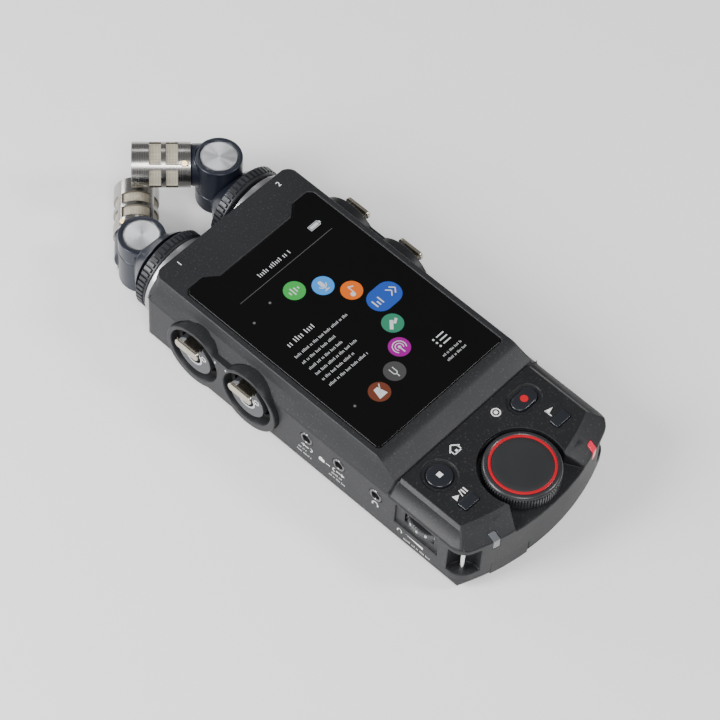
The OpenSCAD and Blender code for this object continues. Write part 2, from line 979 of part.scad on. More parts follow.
// Turning half of a microphone: upper barrel and the neck of the capsule
module mic_arm(side) {
    color([0.13, 0.14, 0.19])
    on_mic(side)
        difference() {
            union() {
                translate([0, pivot_y, barrel_split + 0.1])
                    cylinder(r = barrel_r, h = barrel_top - barrel_split - 0.1);
                on_capsule()
                    cylinder(r = arm_r, h = cage_s[0]);
            }
            translate([0, pivot_y, 0])
                cylinder(r = pin_r + running_gap, h = 13.1);
            translate([0, pivot_y, barrel_top - disc_t])
                cylinder(r = disc_r + 0.05, h = 5);
        }
}

module mic_arm_left() {
    mic_arm(-1);
}

module mic_arm_right() {
    mic_arm(1);
}

module pivot_disc(side) {
    color([0.8, 0.8, 0.82])
    on_mic(side)
        translate([0, pivot_y, barrel_top - disc_t])
            cylinder(r = disc_r, h = disc_t);
}

module pivot_disc_left() {
    pivot_disc(-1);
}

module pivot_disc_right() {
    pivot_disc(1);
}

// Metal cage with two rows of four windows
module capsule_cage(side) {
    color([0.7, 0.69, 0.67])
    on_mic(side)
        on_capsule()
            difference() {
                translate([0, 0, cage_s[0]])
                    cylinder(r = cage_r, h = cage_s[1] - cage_s[0]);
                translate([0, 0, cage_s[0] - 1])
                    cylinder(r = cage_r - cage_t, h = 30);
                for (a = screw_angles)
                    rotate([0, 0, a])
                        translate([cage_r - 2, 0, cage_screw_s])
                            rotate([0, 90, 0])
                                cylinder(r = cage_screw_r + 0.05, h = 4);
                for (s = window_s, a = [0, 90, 180, 270])
                    rotate([0, 0, a])
                        block([5.5, -window_w / 2, s], [12, window_w / 2, s + window_l]);
            }
}

module capsule_cage_left() {
    capsule_cage(-1);
}

module capsule_cage_right() {
    capsule_cage(1);
}

module capsule_mesh(side) {
    color([0.75, 0.7, 0.6])
    on_mic(side)
        on_capsule()
            difference() {
                translate([0, 0, 13.6])
                    cylinder(r = cage_r - cage_t - 0.05, h = 16.4);
                translate([0, 0, 12])
                    cylinder(r = cage_r - cage_t - 0.4, h = 17.6);
            }
}

module capsule_mesh_left() {
    capsule_mesh(-1);
}

module capsule_mesh_right() {
    capsule_mesh(1);
}

module capsule(side) {
    color([0.3, 0.3, 0.3])
    on_mic(side)
        on_capsule()
            translate([0, 0, cage_s[0] + 0.1])
                cylinder(r = cage_r - cage_t - 0.5, h = 16);
}

module capsule_left() {
    capsule(-1);
}

module capsule_right() {
    capsule(1);
}

module cage_screw(side) {
    color([0.8, 0.65, 0.35])
    on_mic(side)
        on_capsule()
            for (a = screw_angles)
                rotate([0, 0, a])
                    translate([cage_r - cage_t + 0.1, 0, cage_screw_s])
                        rotate([0, 90, 0])
                            cylinder(r = cage_screw_r, h = 1.2);
}

module cage_screw_left() {
    cage_screw(-1);
}

module cage_screw_right() {
    cage_screw(1);
}

front_cover();
rear_cover();
control_panel();
screen_glass();
display_module();
main_board();
button_switches();
dial_encoder();
jack_pad_left();
jack_pad_right();
combo_jacks_left();
combo_jacks_right();
combo_contacts();
mini_jacks();
strap_posts();
peak_light();
record_light();
battery_cells();
battery_contacts();
adapter_connector();
card_slot();
usb_port();
tripod_bush();
rubber_feet();
case_screws();
speaker();
mic_mount_left();
mic_mount_right();
battery_door();
adapter_cover();
card_door();
power_switch();
record_button();
stop_button();
play_button();
mark_button();
jog_dial();
dial_ring();
volume_wheel();
latch_left_upper();
latch_left_lower();
latch_right_upper();
latch_right_lower();
lock_ring_left();
lock_ring_right();
mic_neck_left();
mic_neck_right();
neck_discs();
mic_arm_left();
mic_arm_right();
pivot_disc_left();
pivot_disc_right();
capsule_cage_left();
capsule_cage_right();
capsule_mesh_left();
capsule_mesh_right();
capsule_left();
capsule_right();
cage_screw_left();
cage_screw_right();
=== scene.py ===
# Portable field recorder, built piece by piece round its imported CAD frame.
# Lengths in this file are millimetres unless a name says otherwise; meshes are made in metres.
import math
import bpy
import bmesh
from mathutils import Matrix, Vector
from mathutils.geometry import delaunay_2d_cdt


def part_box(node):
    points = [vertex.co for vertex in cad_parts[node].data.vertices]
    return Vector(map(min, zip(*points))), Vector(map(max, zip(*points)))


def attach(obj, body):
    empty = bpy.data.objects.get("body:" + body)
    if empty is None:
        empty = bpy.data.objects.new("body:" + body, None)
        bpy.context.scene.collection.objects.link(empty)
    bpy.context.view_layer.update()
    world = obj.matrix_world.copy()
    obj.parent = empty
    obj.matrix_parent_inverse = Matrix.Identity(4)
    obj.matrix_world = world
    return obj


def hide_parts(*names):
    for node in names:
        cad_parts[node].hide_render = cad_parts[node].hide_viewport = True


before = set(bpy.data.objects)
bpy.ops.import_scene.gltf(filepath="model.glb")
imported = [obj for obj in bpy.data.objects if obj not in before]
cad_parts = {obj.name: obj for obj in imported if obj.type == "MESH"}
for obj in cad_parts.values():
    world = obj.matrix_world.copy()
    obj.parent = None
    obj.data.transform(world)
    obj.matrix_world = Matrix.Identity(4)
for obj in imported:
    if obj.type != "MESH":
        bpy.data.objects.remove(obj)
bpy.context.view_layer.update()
MM = 0.001

# ---------------------------------------------------------------- camera
# A long lens, held a little tilted: it looks down on the recorder from its lower left, as
# someone who stands at a table sees it. It isn't part of the recorder.
camera_place = Vector((-473.38, -406.95, 922.87))
camera_aim = Vector((-0.4, -14.78, 17.5))
camera_roll = 4.289
camera_lens = 155.516
camera = bpy.data.objects.new("camera", bpy.data.cameras.new("camera"))
bpy.context.scene.collection.objects.link(camera)
camera.data.lens = camera_lens
camera.data.sensor_width = 36.0
camera.data.clip_start, camera.data.clip_end = 0.05, 20.0
look = (camera_aim - camera_place).to_track_quat("-Z", "Y").to_matrix().to_4x4()
camera.matrix_world = (Matrix.Translation(camera_place * MM) @ look
                       @ Matrix.Rotation(math.radians(camera_roll), 4, "Z"))
bpy.context.scene.camera = camera

# ---------------------------------------------------------------- rear cover
# The shell of the back: moulded charcoal plastic with a fine sandblasted grain, rounded all
# round where the hand holds it, and screwed to the front cover from behind.
bevel_steps = 2
sharp_angle = math.radians(32)


def node_in(tree, kind, inputs=None, **traits):
    """A new node in a tree. An input takes a plain value or a link from another socket."""
    made = tree.nodes.new(kind)
    for trait, choice in traits.items():
        setattr(made, trait, choice)
    for socket, source in (inputs or {}).items():
        if isinstance(source, bpy.types.NodeSocket):
            tree.links.new(source, made.inputs[socket])
        else:
            made.inputs[socket].default_value = source
    return made


def shader_group(name, vectors, colours, floats):
    """An empty shader group that takes named inputs and puts out colour, roughness and height."""
    tree = bpy.data.node_groups.new(name, "ShaderNodeTree")
    for kind, labels in (("Vector", vectors), ("Color", colours), ("Float", floats)):
        for label in labels:
            tree.interface.new_socket(label, in_out="INPUT", socket_type="NodeSocket" + kind)
    for label, kind in (("Colour", "Color"), ("Roughness", "Float"), ("Height", "Float")):
        tree.interface.new_socket(label, in_out="OUTPUT", socket_type="NodeSocket" + kind)
    return tree, tree.nodes.new("NodeGroupInput").outputs, tree.nodes.new("NodeGroupOutput").inputs


def grain_group():
    """Moulded plastic: a fine pebbled grain, pale and dark flecks and a slow change of tone."""
    tree, given, out = shader_group("moulded_grain", ["Vector"], ["Colour", "Fleck Colour"],
                                    ["Grain Scale", "Fleck Amount", "Roughness"])
    where, scale = given["Vector"], given["Grain Scale"]
    pebbles = node_in(tree, "ShaderNodeTexNoise", {"Vector": where, "Scale": scale, "Detail": 3.0})
    finer = node_in(tree, "ShaderNodeMath", {0: scale, 1: 0.62}, operation="MULTIPLY")
    flecks = node_in(tree, "ShaderNodeTexNoise",
                     {"Vector": where, "Scale": finer.outputs[0], "Detail": 2.0})
    tone = node_in(tree, "ShaderNodeTexNoise", {"Vector": where, "Scale": 45.0, "Detail": 2.0})
    pick = node_in(tree, "ShaderNodeMapRange",
                   {"Value": flecks.outputs["Fac"], "From Min": 0.60, "From Max": 0.72})
    share = node_in(tree, "ShaderNodeMath", {0: pick.outputs["Result"], 1: given["Fleck Amount"]},
                    operation="MULTIPLY")
    speckled = node_in(tree, "ShaderNodeMix", data_type="RGBA")
    tree.links.new(share.outputs[0], speckled.inputs["Factor"])
    tree.links.new(given["Colour"], speckled.inputs["A"])
    tree.links.new(given["Fleck Colour"], speckled.inputs["B"])
    value = node_in(tree, "ShaderNodeMapRange",
                    {"Value": tone.outputs["Fac"], "To Min": 0.82, "To Max": 1.18})
    shade = node_in(tree, "ShaderNodeHueSaturation",
                    {"Color": speckled.outputs["Result"], "Value": value.outputs["Result"]})
    rough = node_in(tree, "ShaderNodeMapRange",
                    {"Value": tone.outputs["Fac"], "To Min": -0.07, "To Max": 0.07})
    total = node_in(tree, "ShaderNodeMath", {0: rough.outputs["Result"], 1: given["Roughness"]},
                    operation="ADD")
    tree.links.new(shade.outputs["Color"], out["Colour"])
    tree.links.new(total.outputs[0], out["Roughness"])
    tree.links.new(pebbles.outputs["Fac"], out["Height"])
    return tree


moulded_grain = grain_group()


def set_shader(shader, settings):
    """Puts plain values on a node's own sockets."""
    for socket, amount in settings.items():
        shader.inputs[socket].default_value = amount


def grouped(name, group, values, bump, depth, settings):
    """A material whose colour, roughness and relief come from a shader group."""
    finish = bpy.data.materials.new(name)
    finish.use_nodes = True
    tree = finish.node_tree
    shader = tree.nodes["Principled BSDF"]
    place = node_in(tree, "ShaderNodeTexCoord")
    effect = node_in(tree, "ShaderNodeGroup", node_tree=group)
    tree.links.new(place.outputs["Object"], effect.inputs["Vector"])
    set_shader(effect, values)
    relief = node_in(tree, "ShaderNodeBump",
                     {"Height": effect.outputs["Height"], "Strength": bump, "Distance": depth})
    tree.links.new(effect.outputs["Colour"], shader.inputs["Base Color"])
    tree.links.new(effect.outputs["Roughness"], shader.inputs["Roughness"])
    tree.links.new(relief.outputs["Normal"], shader.inputs["Normal"])
    set_shader(shader, settings)
    return finish


def plastic(name, colour, roughness, flecks=0.0, fleck_colour=(0.2, 0.2, 0.21),
            grain=2300.0, bump=0.25, depth=0.00006, **settings):
    """A moulded plastic or a paint: the grain group with its own values."""
    return grouped(name, moulded_grain,
                   {"Colour": (*colour, 1.0), "Fleck Colour": (*fleck_colour, 1.0),
                    "Fleck Amount": flecks, "Grain Scale": grain, "Roughness": roughness},
                   bump, depth, settings)


def settled(obj, name):
    """The object's evaluated shape as a plain mesh, in place of its modifiers."""
    bpy.context.view_layer.update()
    shape = obj.evaluated_get(bpy.context.evaluated_depsgraph_get())
    mesh = bpy.data.meshes.new_from_object(shape)
    mesh.name = name
    obj.modifiers.clear()
    obj.data = mesh
    return obj


def mesh_from(bm, name, outwards=True, angle=None):
    """Ends a built shape as a mesh: faces turned outwards, and smooth up to an angle if given."""
    if outwards:
        bmesh.ops.recalc_face_normals(bm, faces=bm.faces)
    mesh = bpy.data.meshes.new(name)
    bm.to_mesh(mesh)
    bm.free()
    if angle is not None:
        smoothed(mesh, angle)
    return mesh


def smoothed(mesh, angle):
    """Smooth faces, with the edges past the angle kept sharp."""
    for face in mesh.polygons:
        face.use_smooth = True
    mesh.set_sharp_from_angle(angle=angle)


def placed(mesh, name, finish):
    """A new object at the origin that holds the mesh."""
    mesh.name = name
    obj = bpy.data.objects.new(name, mesh)
    bpy.context.scene.collection.objects.link(obj)
    if not mesh.materials:
        mesh.materials.append(finish)
    return obj


def fitted(obj, body, slot, *nodes):
    """The piece rides on its body and stands for the CAD nodes; the slot is not used."""
    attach(obj, body)
    if nodes:
        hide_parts(*nodes)
    return obj


def winding(point, outline):
    """How many times the outline runs round the point."""
    turns = 0
    for a, b in zip(outline, outline[1:] + outline[:1]):
        side = (b.x - a.x) * (point.y - a.y) - (b.y - a.y) * (point.x - a.x)
        if a.y <= point.y < b.y and side > 0:
            turns += 1
        elif b.y <= point.y < a.y and side < 0:
            turns -= 1
    return turns


def sound_faces(mesh):
    """Splits the flat faces that reach round a hole into triangles that stay on the face."""
    mesh.calc_loop_triangles()
    covered = {}
    for part in mesh.loop_triangles:
        covered[part.polygon_index] = covered.get(part.polygon_index, 0) + part.area
    faulty = [i for i, area in covered.items() if area > mesh.polygons[i].area * 1.004 + 1e-8]
    bm = bmesh.new()
    bm.from_mesh(mesh)
    bm.faces.ensure_lookup_table()
    for face in [bm.faces[i] for i in faulty if len(bm.faces[i].verts) > 4]:
        verts, normal = list(face.verts), face.normal.copy()
        across = normal.orthogonal().normalized()
        upward = normal.cross(across)
        start = verts[0].co.copy()
        outline = [Vector(((v.co - start).dot(across), (v.co - start).dot(upward))) / MM
                   for v in verts]
        links = [(i, (i + 1) % len(verts)) for i in range(len(verts))]
        points, _, parts, origin, _, _ = delaunay_2d_cdt(outline, links, [], 0, 1e-5)
        corners = [verts[origin[i][0]] if origin[i] else
                   bm.verts.new(start + (across * q.x + upward * q.y) * MM)
                   for i, q in enumerate(points)]
        for part in parts:
            middle = sum((points[i] for i in part), Vector((0, 0))) / len(part)
            three = [corners[i] for i in part]
            whole = len(set(three)) == len(three) and not bm.faces.get(three)
            if winding(middle, outline) and whole:
                bm.faces.new(three).smooth = True
        bm.faces.remove(face)
    bm.to_mesh(mesh)
    bm.free()


def rounded(node, name, finish, width, weigh=None, angle=28, other=None, steps=bevel_steps):
    """The CAD node's own shape with its sharp edges rounded, as moulding or tumbling leaves them.
    weigh(middle) gives an edge's share of the width; other(face) picks a second finish."""
    bm = bmesh.new()
    bm.from_mesh(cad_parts[node].data)
    bmesh.ops.remove_doubles(bm, verts=bm.verts, dist=2e-6)
    bmesh.ops.dissolve_limit(bm, angle_limit=math.radians(0.6), verts=bm.verts, edges=bm.edges)
    mark = bm.edges.layers.float.new("bevel_weight_edge")
    for edge in bm.edges:
        if len(edge.link_faces) != 2:
            continue
        if edge.calc_face_angle(0.0) > math.radians(angle):
            share = 1.0
            if weigh:
                middle = (edge.verts[0].co + edge.verts[1].co) / 2 / MM
                share = weigh(middle)
            edge[mark] = share
    mesh = mesh_from(bm, name, outwards=False)
    for face in mesh.polygons:
        face.use_smooth = True
    obj = placed(mesh, name, finish)
    soft = obj.modifiers.new("rounded", "BEVEL")
    soft.limit_method = "WEIGHT"
    soft.width = width * MM
    soft.segments = steps
    soft.use_clamp_overlap = False
    soft.miter_outer = "MITER_ARC"
    soft.harden_normals = False
    settled(obj, name)
    sound_faces(obj.data)
    obj.data.set_sharp_from_angle(angle=sharp_angle)
    flat = obj.modifiers.new("flat", "WEIGHTED_NORMAL")
    flat.keep_sharp = True
    settled(obj, name)
    if other:
        test, second = other
        obj.data.materials.append(second)
        for face in obj.data.polygons:
            if test(face):
                face.material_index = 1
    return obj


case_grey = (0.0155, 0.016, 0.018)
case_finish = plastic("charcoal_case", case_grey, 0.46, flecks=0.55,
                      fleck_colour=(0.06, 0.061, 0.068), bump=0.45, **{"Specular IOR Level": 0.3})
rear = rounded("rear_cover", "rear_shell", case_finish, 0.3,
               weigh=lambda m: 1.0 if m.z < 5.9 else 0.25)
fitted(rear, "recorder", "case_plastic", "rear_cover")

# ---------------------------------------------------------------- case screws
# Six small pan-head steel screws with a cross recess, sunk in counterbores of the rear cover.
screw_head_r = 2.05
screw_head_h = 1.0
screw_points = ((-33, -80), (33, -80), (-33, 47.5), (33, 47.5), (0, -78), (0, 48.5))


def node_tree(name, inputs):
    """An empty geometry node tree with named inputs, and a maker of linked nodes for it."""
    tree = bpy.data.node_groups.new(name, "GeometryNodeTree")
    for label, kind in inputs:
        tree.interface.new_socket(label, in_out="INPUT", socket_type="NodeSocket" + kind)
    tree.interface.new_socket("Geometry", in_out="OUTPUT", socket_type="NodeSocketGeometry")
    return tree, tree.nodes.new("NodeGroupInput"), tree.nodes.new("NodeGroupOutput")


def end_tree(tree, given, out, source):
    """Realize Instances and Set Material, which every tree ends in."""
    real = tree.nodes.new("GeometryNodeRealizeInstances")
    paint = tree.nodes.new("GeometryNodeSetMaterial")
    tree.links.new(source, real.inputs[0])
    tree.links.new(real.outputs[0], paint.inputs["Geometry"])
    tree.links.new(given.outputs["Finish"], paint.inputs["Material"])
    tree.links.new(paint.outputs[0], out.inputs[0])
    return tree


def scaled(tree, length, share):
    """A length in a tree, times a share."""
    return node_in(tree, "ShaderNodeMath", {0: length, 1: share}, operation="MULTIPLY").outputs[0]


def screw_tree():
    """A domed head with a cross cut in it, put on every point of the piece's own mesh."""
    tree, given, out = node_tree("screw_heads", [
        ("Places", "Geometry"), ("Head Radius", "Float"), ("Head Height", "Float"),
        ("Cross Width", "Float"), ("Finish", "Material")])
    radius, height = given.outputs["Head Radius"], given.outputs["Head Height"]
    facets = 28
    head = node_in(tree, "GeometryNodeMeshCylinder",
                   {"Vertices": facets, "Radius": radius, "Depth": height})
    dome = node_in(tree, "GeometryNodeMeshCylinder",
                   {"Vertices": facets, "Radius": scaled(tree, radius, 0.82),
                    "Depth": scaled(tree, height, 1.25)})
    both = node_in(tree, "GeometryNodeMeshBoolean", operation="UNION")
    cut = node_in(tree, "GeometryNodeMeshBoolean", operation="DIFFERENCE")
    tree.links.new(head.outputs["Mesh"], both.inputs["Mesh 2"])
    tree.links.new(dome.outputs["Mesh"], both.inputs["Mesh 2"])
    tree.links.new(both.outputs["Mesh"], cut.inputs["Mesh 1"])
    lift = node_in(tree, "ShaderNodeCombineXYZ", {"Z": height})
    for long_way, wide_way in ("XY", "YX"):
        size = node_in(tree, "ShaderNodeCombineXYZ",
                       {long_way: scaled(tree, radius, 1.25),
                        wide_way: given.outputs["Cross Width"], "Z": height})
        bar = node_in(tree, "GeometryNodeMeshCube", {"Size": size.outputs[0]})
        raised = node_in(tree, "GeometryNodeTransform",
                         {"Geometry": bar.outputs["Mesh"], "Translation": lift.outputs[0]})
        tree.links.new(raised.outputs[0], cut.inputs["Mesh 2"])
    spread = node_in(tree, "GeometryNodeInstanceOnPoints",
                     {"Points": given.outputs["Places"], "Instance": cut.outputs["Mesh"]})
    return end_tree(tree, given, out, spread.outputs[0])


def grown(tree, name, seed, place, finish, values, angle=sharp_angle):
    """Runs a tree on a small seed mesh, makes the result a plain mesh and moves it to its place."""
    obj = placed(seed, name, finish)
    run = obj.modifiers.new("grown", "NODES")
    run.node_group = tree
    for item in tree.interface.items_tree:
        if item.in_out == "INPUT" and item.name in values:
            run[item.identifier] = values[item.name]
        elif item.in_out == "INPUT" and item.name == "Finish":
            run[item.identifier] = finish
    settled(obj, name)
    if place is not None:
        obj.data.transform(Matrix.Scale(MM, 4) @ place @ Matrix.Scale(1 / MM, 4))
    smoothed(obj.data, angle)
    return obj


def point_mesh(points):
    """Loose points for a tree to build on, given in millimetres."""
    mesh = bpy.data.meshes.new("points")
    mesh.from_pydata([Vector(p) * MM for p in points], [], [])
    return mesh


def metal_group():
    """Turned or brushed metal: fine lines that change along one axis, and a slow tarnish."""
    tree, given, out = shader_group("worked_metal", ["Vector", "Axis"], ["Colour"],
                                    ["Line Scale", "Roughness", "Tarnish"])
    along = node_in(tree, "ShaderNodeVectorMath", {0: given["Vector"], 1: given["Axis"]},
                    operation="DOT_PRODUCT")
    lines = node_in(tree, "ShaderNodeTexNoise", noise_dimensions="1D")
    lines.inputs["Detail"].default_value = 2.0
    tree.links.new(along.outputs["Value"], lines.inputs["W"])
    tree.links.new(given["Line Scale"], lines.inputs["Scale"])
    cloud = node_in(tree, "ShaderNodeTexNoise",
                    {"Vector": given["Vector"], "Scale": 160.0, "Detail": 3.0})
    dull = node_in(tree, "ShaderNodeMath", {0: cloud.outputs["Fac"], 1: given["Tarnish"]},
                   operation="MULTIPLY")
    shade = node_in(tree, "ShaderNodeMix", data_type="RGBA")
    shade.inputs["B"].default_value = (0.09, 0.085, 0.075, 1.0)
    tree.links.new(dull.outputs[0], shade.inputs["Factor"])
    tree.links.new(given["Colour"], shade.inputs["A"])
    rough = node_in(tree, "ShaderNodeMapRange",
                    {"Value": lines.outputs["Fac"], "To Min": -0.06, "To Max": 0.08})
    total = node_in(tree, "ShaderNodeMath", {0: rough.outputs["Result"], 1: given["Roughness"]},
                    operation="ADD")
    tree.links.new(shade.outputs["Result"], out["Colour"])
    tree.links.new(total.outputs[0], out["Roughness"])
    tree.links.new(lines.outputs["Fac"], out["Height"])
    return tree


worked_metal = metal_group()


def metal(name, colour, roughness, axis=(0, 0, 1), lines=4000.0, tarnish=0.2, bump=0.08):
    """A metal with fine working marks."""
    return grouped(name, worked_metal,
                   {"Colour": (*colour, 1.0), "Axis": axis, "Line Scale": lines,
                    "Roughness": roughness, "Tarnish": tarnish},
                   bump, 0.00003, {"Metallic": 1.0})


screw_heads = screw_tree()
steel_finish = metal("screw_steel", (0.5, 0.5, 0.52), 0.3)
back_screws = grown(screw_heads, "case_screw_heads",
                    point_mesh([(x, y, -1.35) for x, y in screw_points]),
                    Matrix.Rotation(math.pi, 4, "X") @ Matrix.Scale(-1, 4, (0, 1, 0)), steel_finish,
                    {"Head Radius": screw_head_r * MM, "Head Height": screw_head_h * MM,
                     "Cross Width": 0.55 * MM})
back_screws.data.flip_normals()
fitted(back_screws, "recorder", "steel_parts", "case_screws")

# ---------------------------------------------------------------- feet, battery door and back parts
# Four rubber feet are glued in; the door clips over four cells, and has a ridged thumb pad.
# The brass tripod bush is moulded in, and the speaker sits behind seven slots.
rubber_finish = plastic("foot_rubber", (0.012, 0.012, 0.013), 0.7, bump=0.6, grain=1500)
feet = rounded("rubber_feet", "feet", rubber_finish, 0.25)
fitted(feet, "recorder", "foot_rubber", "rubber_feet")

door = rounded("battery_door", "battery_lid", case_finish, 0.3)
fitted(door, "battery_door", "case_plastic", "battery_door")


def row_tree():
    """Copies of the piece's own mesh in a straight row."""
    tree, given, out = node_tree("row_of_ridges", [
        ("Ridge", "Geometry"), ("Count", "Int"), ("Step", "Vector"), ("Finish", "Material")])
    line = node_in(tree, "GeometryNodeMeshLine",
                   {"Count": given.outputs["Count"], "Offset": given.outputs["Step"]})
    spread = node_in(tree, "GeometryNodeInstanceOnPoints",
                     {"Points": line.outputs[0], "Instance": given.outputs["Ridge"]})
    return end_tree(tree, given, out, spread.outputs[0])


def ridge_mesh(x, y, z):
    """One rounded ridge, centred on its foot, with its long side along X."""
    bm = bmesh.new()
    steps = 6
    ends = []
    for end in (-x / 2, x / 2):
        ends.append([bm.verts.new(Vector((end, -y / 2 * math.cos(math.pi * i / steps),
                                          z * math.sin(math.pi * i / steps))) * MM)
                     for i in range(steps + 1)])
    for i in range(steps):
        bm.faces.new((ends[0][i], ends[1][i], ends[1][i + 1], ends[0][i + 1]))
    bm.faces.new((ends[0][0], ends[0][-1], ends[1][-1], ends[1][0]))
    bm.faces.new(list(reversed(ends[0])))
    bm.faces.new(ends[1])
    return mesh_from(bm, "ridge")


row_of_ridges = row_tree()
thumb_pad = grown(row_of_ridges, "battery_lid_grip", ridge_mesh(16, 1.1, 0.35),
                  Matrix.Translation((0, -26, 0.82)) @ Matrix.Rotation(math.pi, 4, "X"),
                  case_finish, {"Count": 6, "Step": (0, 2 * MM, 0)})
fitted(thumb_pad, "battery_door", "case_plastic")


def dressed(finish, *names):
    """CAD nodes kept as they are, with a finish of their own."""
    for node in names:
        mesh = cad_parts[node].data
        mesh.materials.clear()
        mesh.materials.append(finish)


brass_finish = metal("tripod_brass", (0.72, 0.55, 0.27), 0.28)
inner_black = plastic("inner_black", (0.008, 0.008, 0.009), 0.55)
cell_finish = plastic("cell_sleeve", (0.03, 0.06, 0.2), 0.3, bump=0.02)
board_finish = plastic("board_mask", (0.01, 0.07, 0.03), 0.35, flecks=0.6,
                       fleck_colour=(0.45, 0.4, 0.2), grain=900, bump=0.1)
dressed(brass_finish, "tripod_bush", "combo_contacts")
dressed(inner_black, "speaker", "display_module", "adapter_connector",
        "capsule_left", "capsule_right")
dressed(cell_finish, "battery_cells")
dressed(board_finish, "main_board")
dressed(steel_finish, "battery_contacts", "card_slot", "usb_port", "button_switches",
        "dial_encoder")

# ---------------------------------------------------------------- front cover
# The main shell: a wide chamfer runs round the control end, and a raised block frames the
# screen. Its lower edge rolls over softly towards the controls.
panel_z, glass_z, crest_y, block_y = 30.4, 35.0, -54.6, -63.1
seam_z = 29.22


def front_edge(m):
    """How round each edge of the front cover is, as a share of the widest rounding."""
    if abs(m.z - seam_z) < 0.1 or m.z < 6.4:
        return 0.0 if abs(m.z - seam_z) < 0.1 else 0.1
    if abs(m.y - crest_y) < 0.3 and m.z > 34.5:
        return 1.0
    if m.z > 34.7:
        return 0.22
    if abs(m.y - block_y) < 0.4 and m.z > 26:
        return 0.3
    if abs(m.z - 25.3) < 0.5 and abs(m.x) > 36:
        return 0.3
    if m.z < 24.5 and m.y > -60:
        return 0.12
    return 0.18


front = rounded("front_cover", "front_shell", case_finish, 2.4, weigh=front_edge, steps=4)
fitted(front, "recorder", "case_plastic", "front_cover")

# ---------------------------------------------------------------- control panel
# The dark top plate round the dial: the same plastic, a touch darker and more speckled, with
# shallow dished surrounds at the two large buttons.
panel_finish = plastic("speckled_panel", (0.012, 0.0123, 0.0138), 0.5, flecks=0.6,
                       fleck_colour=(0.05, 0.051, 0.057), bump=0.5, **{"Specular IOR Level": 0.25})
stop_c, stop_r = Vector((-22.5, -71.8)), 4.8
record_c, record_half = Vector((20.9, -71.7)), (5.4, 3.2)
play_c, mark_c, key_half = Vector((-23.2, -85.7)), Vector((23.7, -85.8)), (3.5, 2.0)


def panel_edge(m):
    """The panel's edges: dished at the large buttons, none where it meets the case."""
    if m.z < seam_z + 0.15:
        return 0.0
    flat = Vector((m.x, m.y))
    if m.z > panel_z - 0.1:
        if stop_r + 1.2 < (flat - stop_c).length < stop_r + 2:
            return 1.0
        if (flat - record_c).length < record_half[0] + 1.9 and abs(flat.x - record_c.x) < 7.2:
            return 1.0
    return 0.6


panel = rounded("control_panel", "top_panel", panel_finish, 0.45, weigh=panel_edge, steps=3,
                other=(lambda f: f.normal.z < 0.93 and f.center.z < panel_z * MM, case_finish))
fitted(panel, "recorder", "panel_plastic", "control_panel")

# ---------------------------------------------------------------- screen
# One sheet of black glass, bonded in its pocket, with lit symbols showing through it.
glass_finish = plastic("screen_glass", (0.0025, 0.0025, 0.0028), 0.07, bump=0.0,
                       **{"Specular IOR Level": 0.22})
glass = rounded("screen_glass", "screen_sheet", glass_finish, 0.3, steps=3)
fitted(glass, "recorder", "screen_glass", "screen_glass")


def arc(cx, cy, r, a0, a1, n=24):
    """Points on an arc, in degrees."""
    return [(cx + r * math.cos(math.radians(a0 + (a1 - a0) * i / n)),
             cy + r * math.sin(math.radians(a0 + (a1 - a0) * i / n))) for i in range(n + 1)]


def disc(cx, cy, r, n=40):
    return arc(cx, cy, r, 0, 360 - 360 / n, n - 1)


def band(cx, cy, r, width, a0, a1, n=20):
    """Part of a ring."""
    return arc(cx, cy, r + width / 2, a0, a1, n) + arc(cx, cy, r - width / 2, a1, a0, n)


def pill(cx, cy, hx, hy, r, n=8):
    """A rectangle with round corners."""
    quarters = ((1, 1), (-1, 1), (-1, -1), (1, -1))
    return [p for k, (sx, sy) in enumerate(quarters)
            for p in arc(cx + sx * (hx - r), cy + sy * (hy - r), r, 90 * k, 90 * k + 90, n)]


def stroke(x0, y0, x1, y1, width):
    """A straight bar from one point to another."""
    run = Vector((x1 - x0, y1 - y0))
    side = Vector((-run.y, run.x)).normalized() * width / 2
    return [(x0 + side.x, y0 + side.y), (x0 - side.x, y0 - side.y),
            (x1 - side.x, y1 - side.y), (x1 + side.x, y1 + side.y)]


def printed(name, shapes, place, finish, body, slot, low=-0.06, high=0.02):
    """Thin printed shapes that stand just proud of a flat face."""
    bm = bmesh.new()
    for shape in shapes:
        if sum(a[0] * b[1] - b[0] * a[1] for a, b in zip(shape, shape[1:] + shape[:1])) < 0:
            shape = shape[::-1]
        lower = [bm.verts.new(place @ Vector((x, y, low)) * MM) for x, y in shape]
        upper = [bm.verts.new(place @ Vector((x, y, high)) * MM) for x, y in shape]
        bm.faces.new(upper)
        bm.faces.new(lower[::-1])
        for i in range(len(shape)):
            j = (i + 1) % len(shape)
            bm.faces.new((lower[i], lower[j], upper[j], upper[i]))
    return fitted(placed(mesh_from(bm, name), name, finish), body, slot)


def lit(name, colour, glow=0.9):
    """A colour that the display shows through the glass."""
    finish = bpy.data.materials.new(name)
    finish.use_nodes = True
    tree = finish.node_tree
    shader = tree.nodes["Principled BSDF"]
    place = node_in(tree, "ShaderNodeTexCoord")
    dots = node_in(tree, "ShaderNodeTexNoise", {"Vector": place.outputs["Object"], "Scale": 6000.0})
    spread = node_in(tree, "ShaderNodeMapRange",
                     {"Value": dots.outputs["Fac"], "To Min": 0.92, "To Max": 1.05})
    tint = node_in(tree, "ShaderNodeHueSaturation",
                   {"Color": (*colour, 1.0), "Value": spread.outputs["Result"]})
    tree.links.new(tint.outputs["Color"], shader.inputs["Emission Color"])
    unlit = 0.25
    set_shader(shader, {"Base Color": (*[unlit * c for c in colour], 1.0), "Roughness": 0.12,
                        "Specular IOR Level": 0.2, "Emission Strength": glow})
    return finish


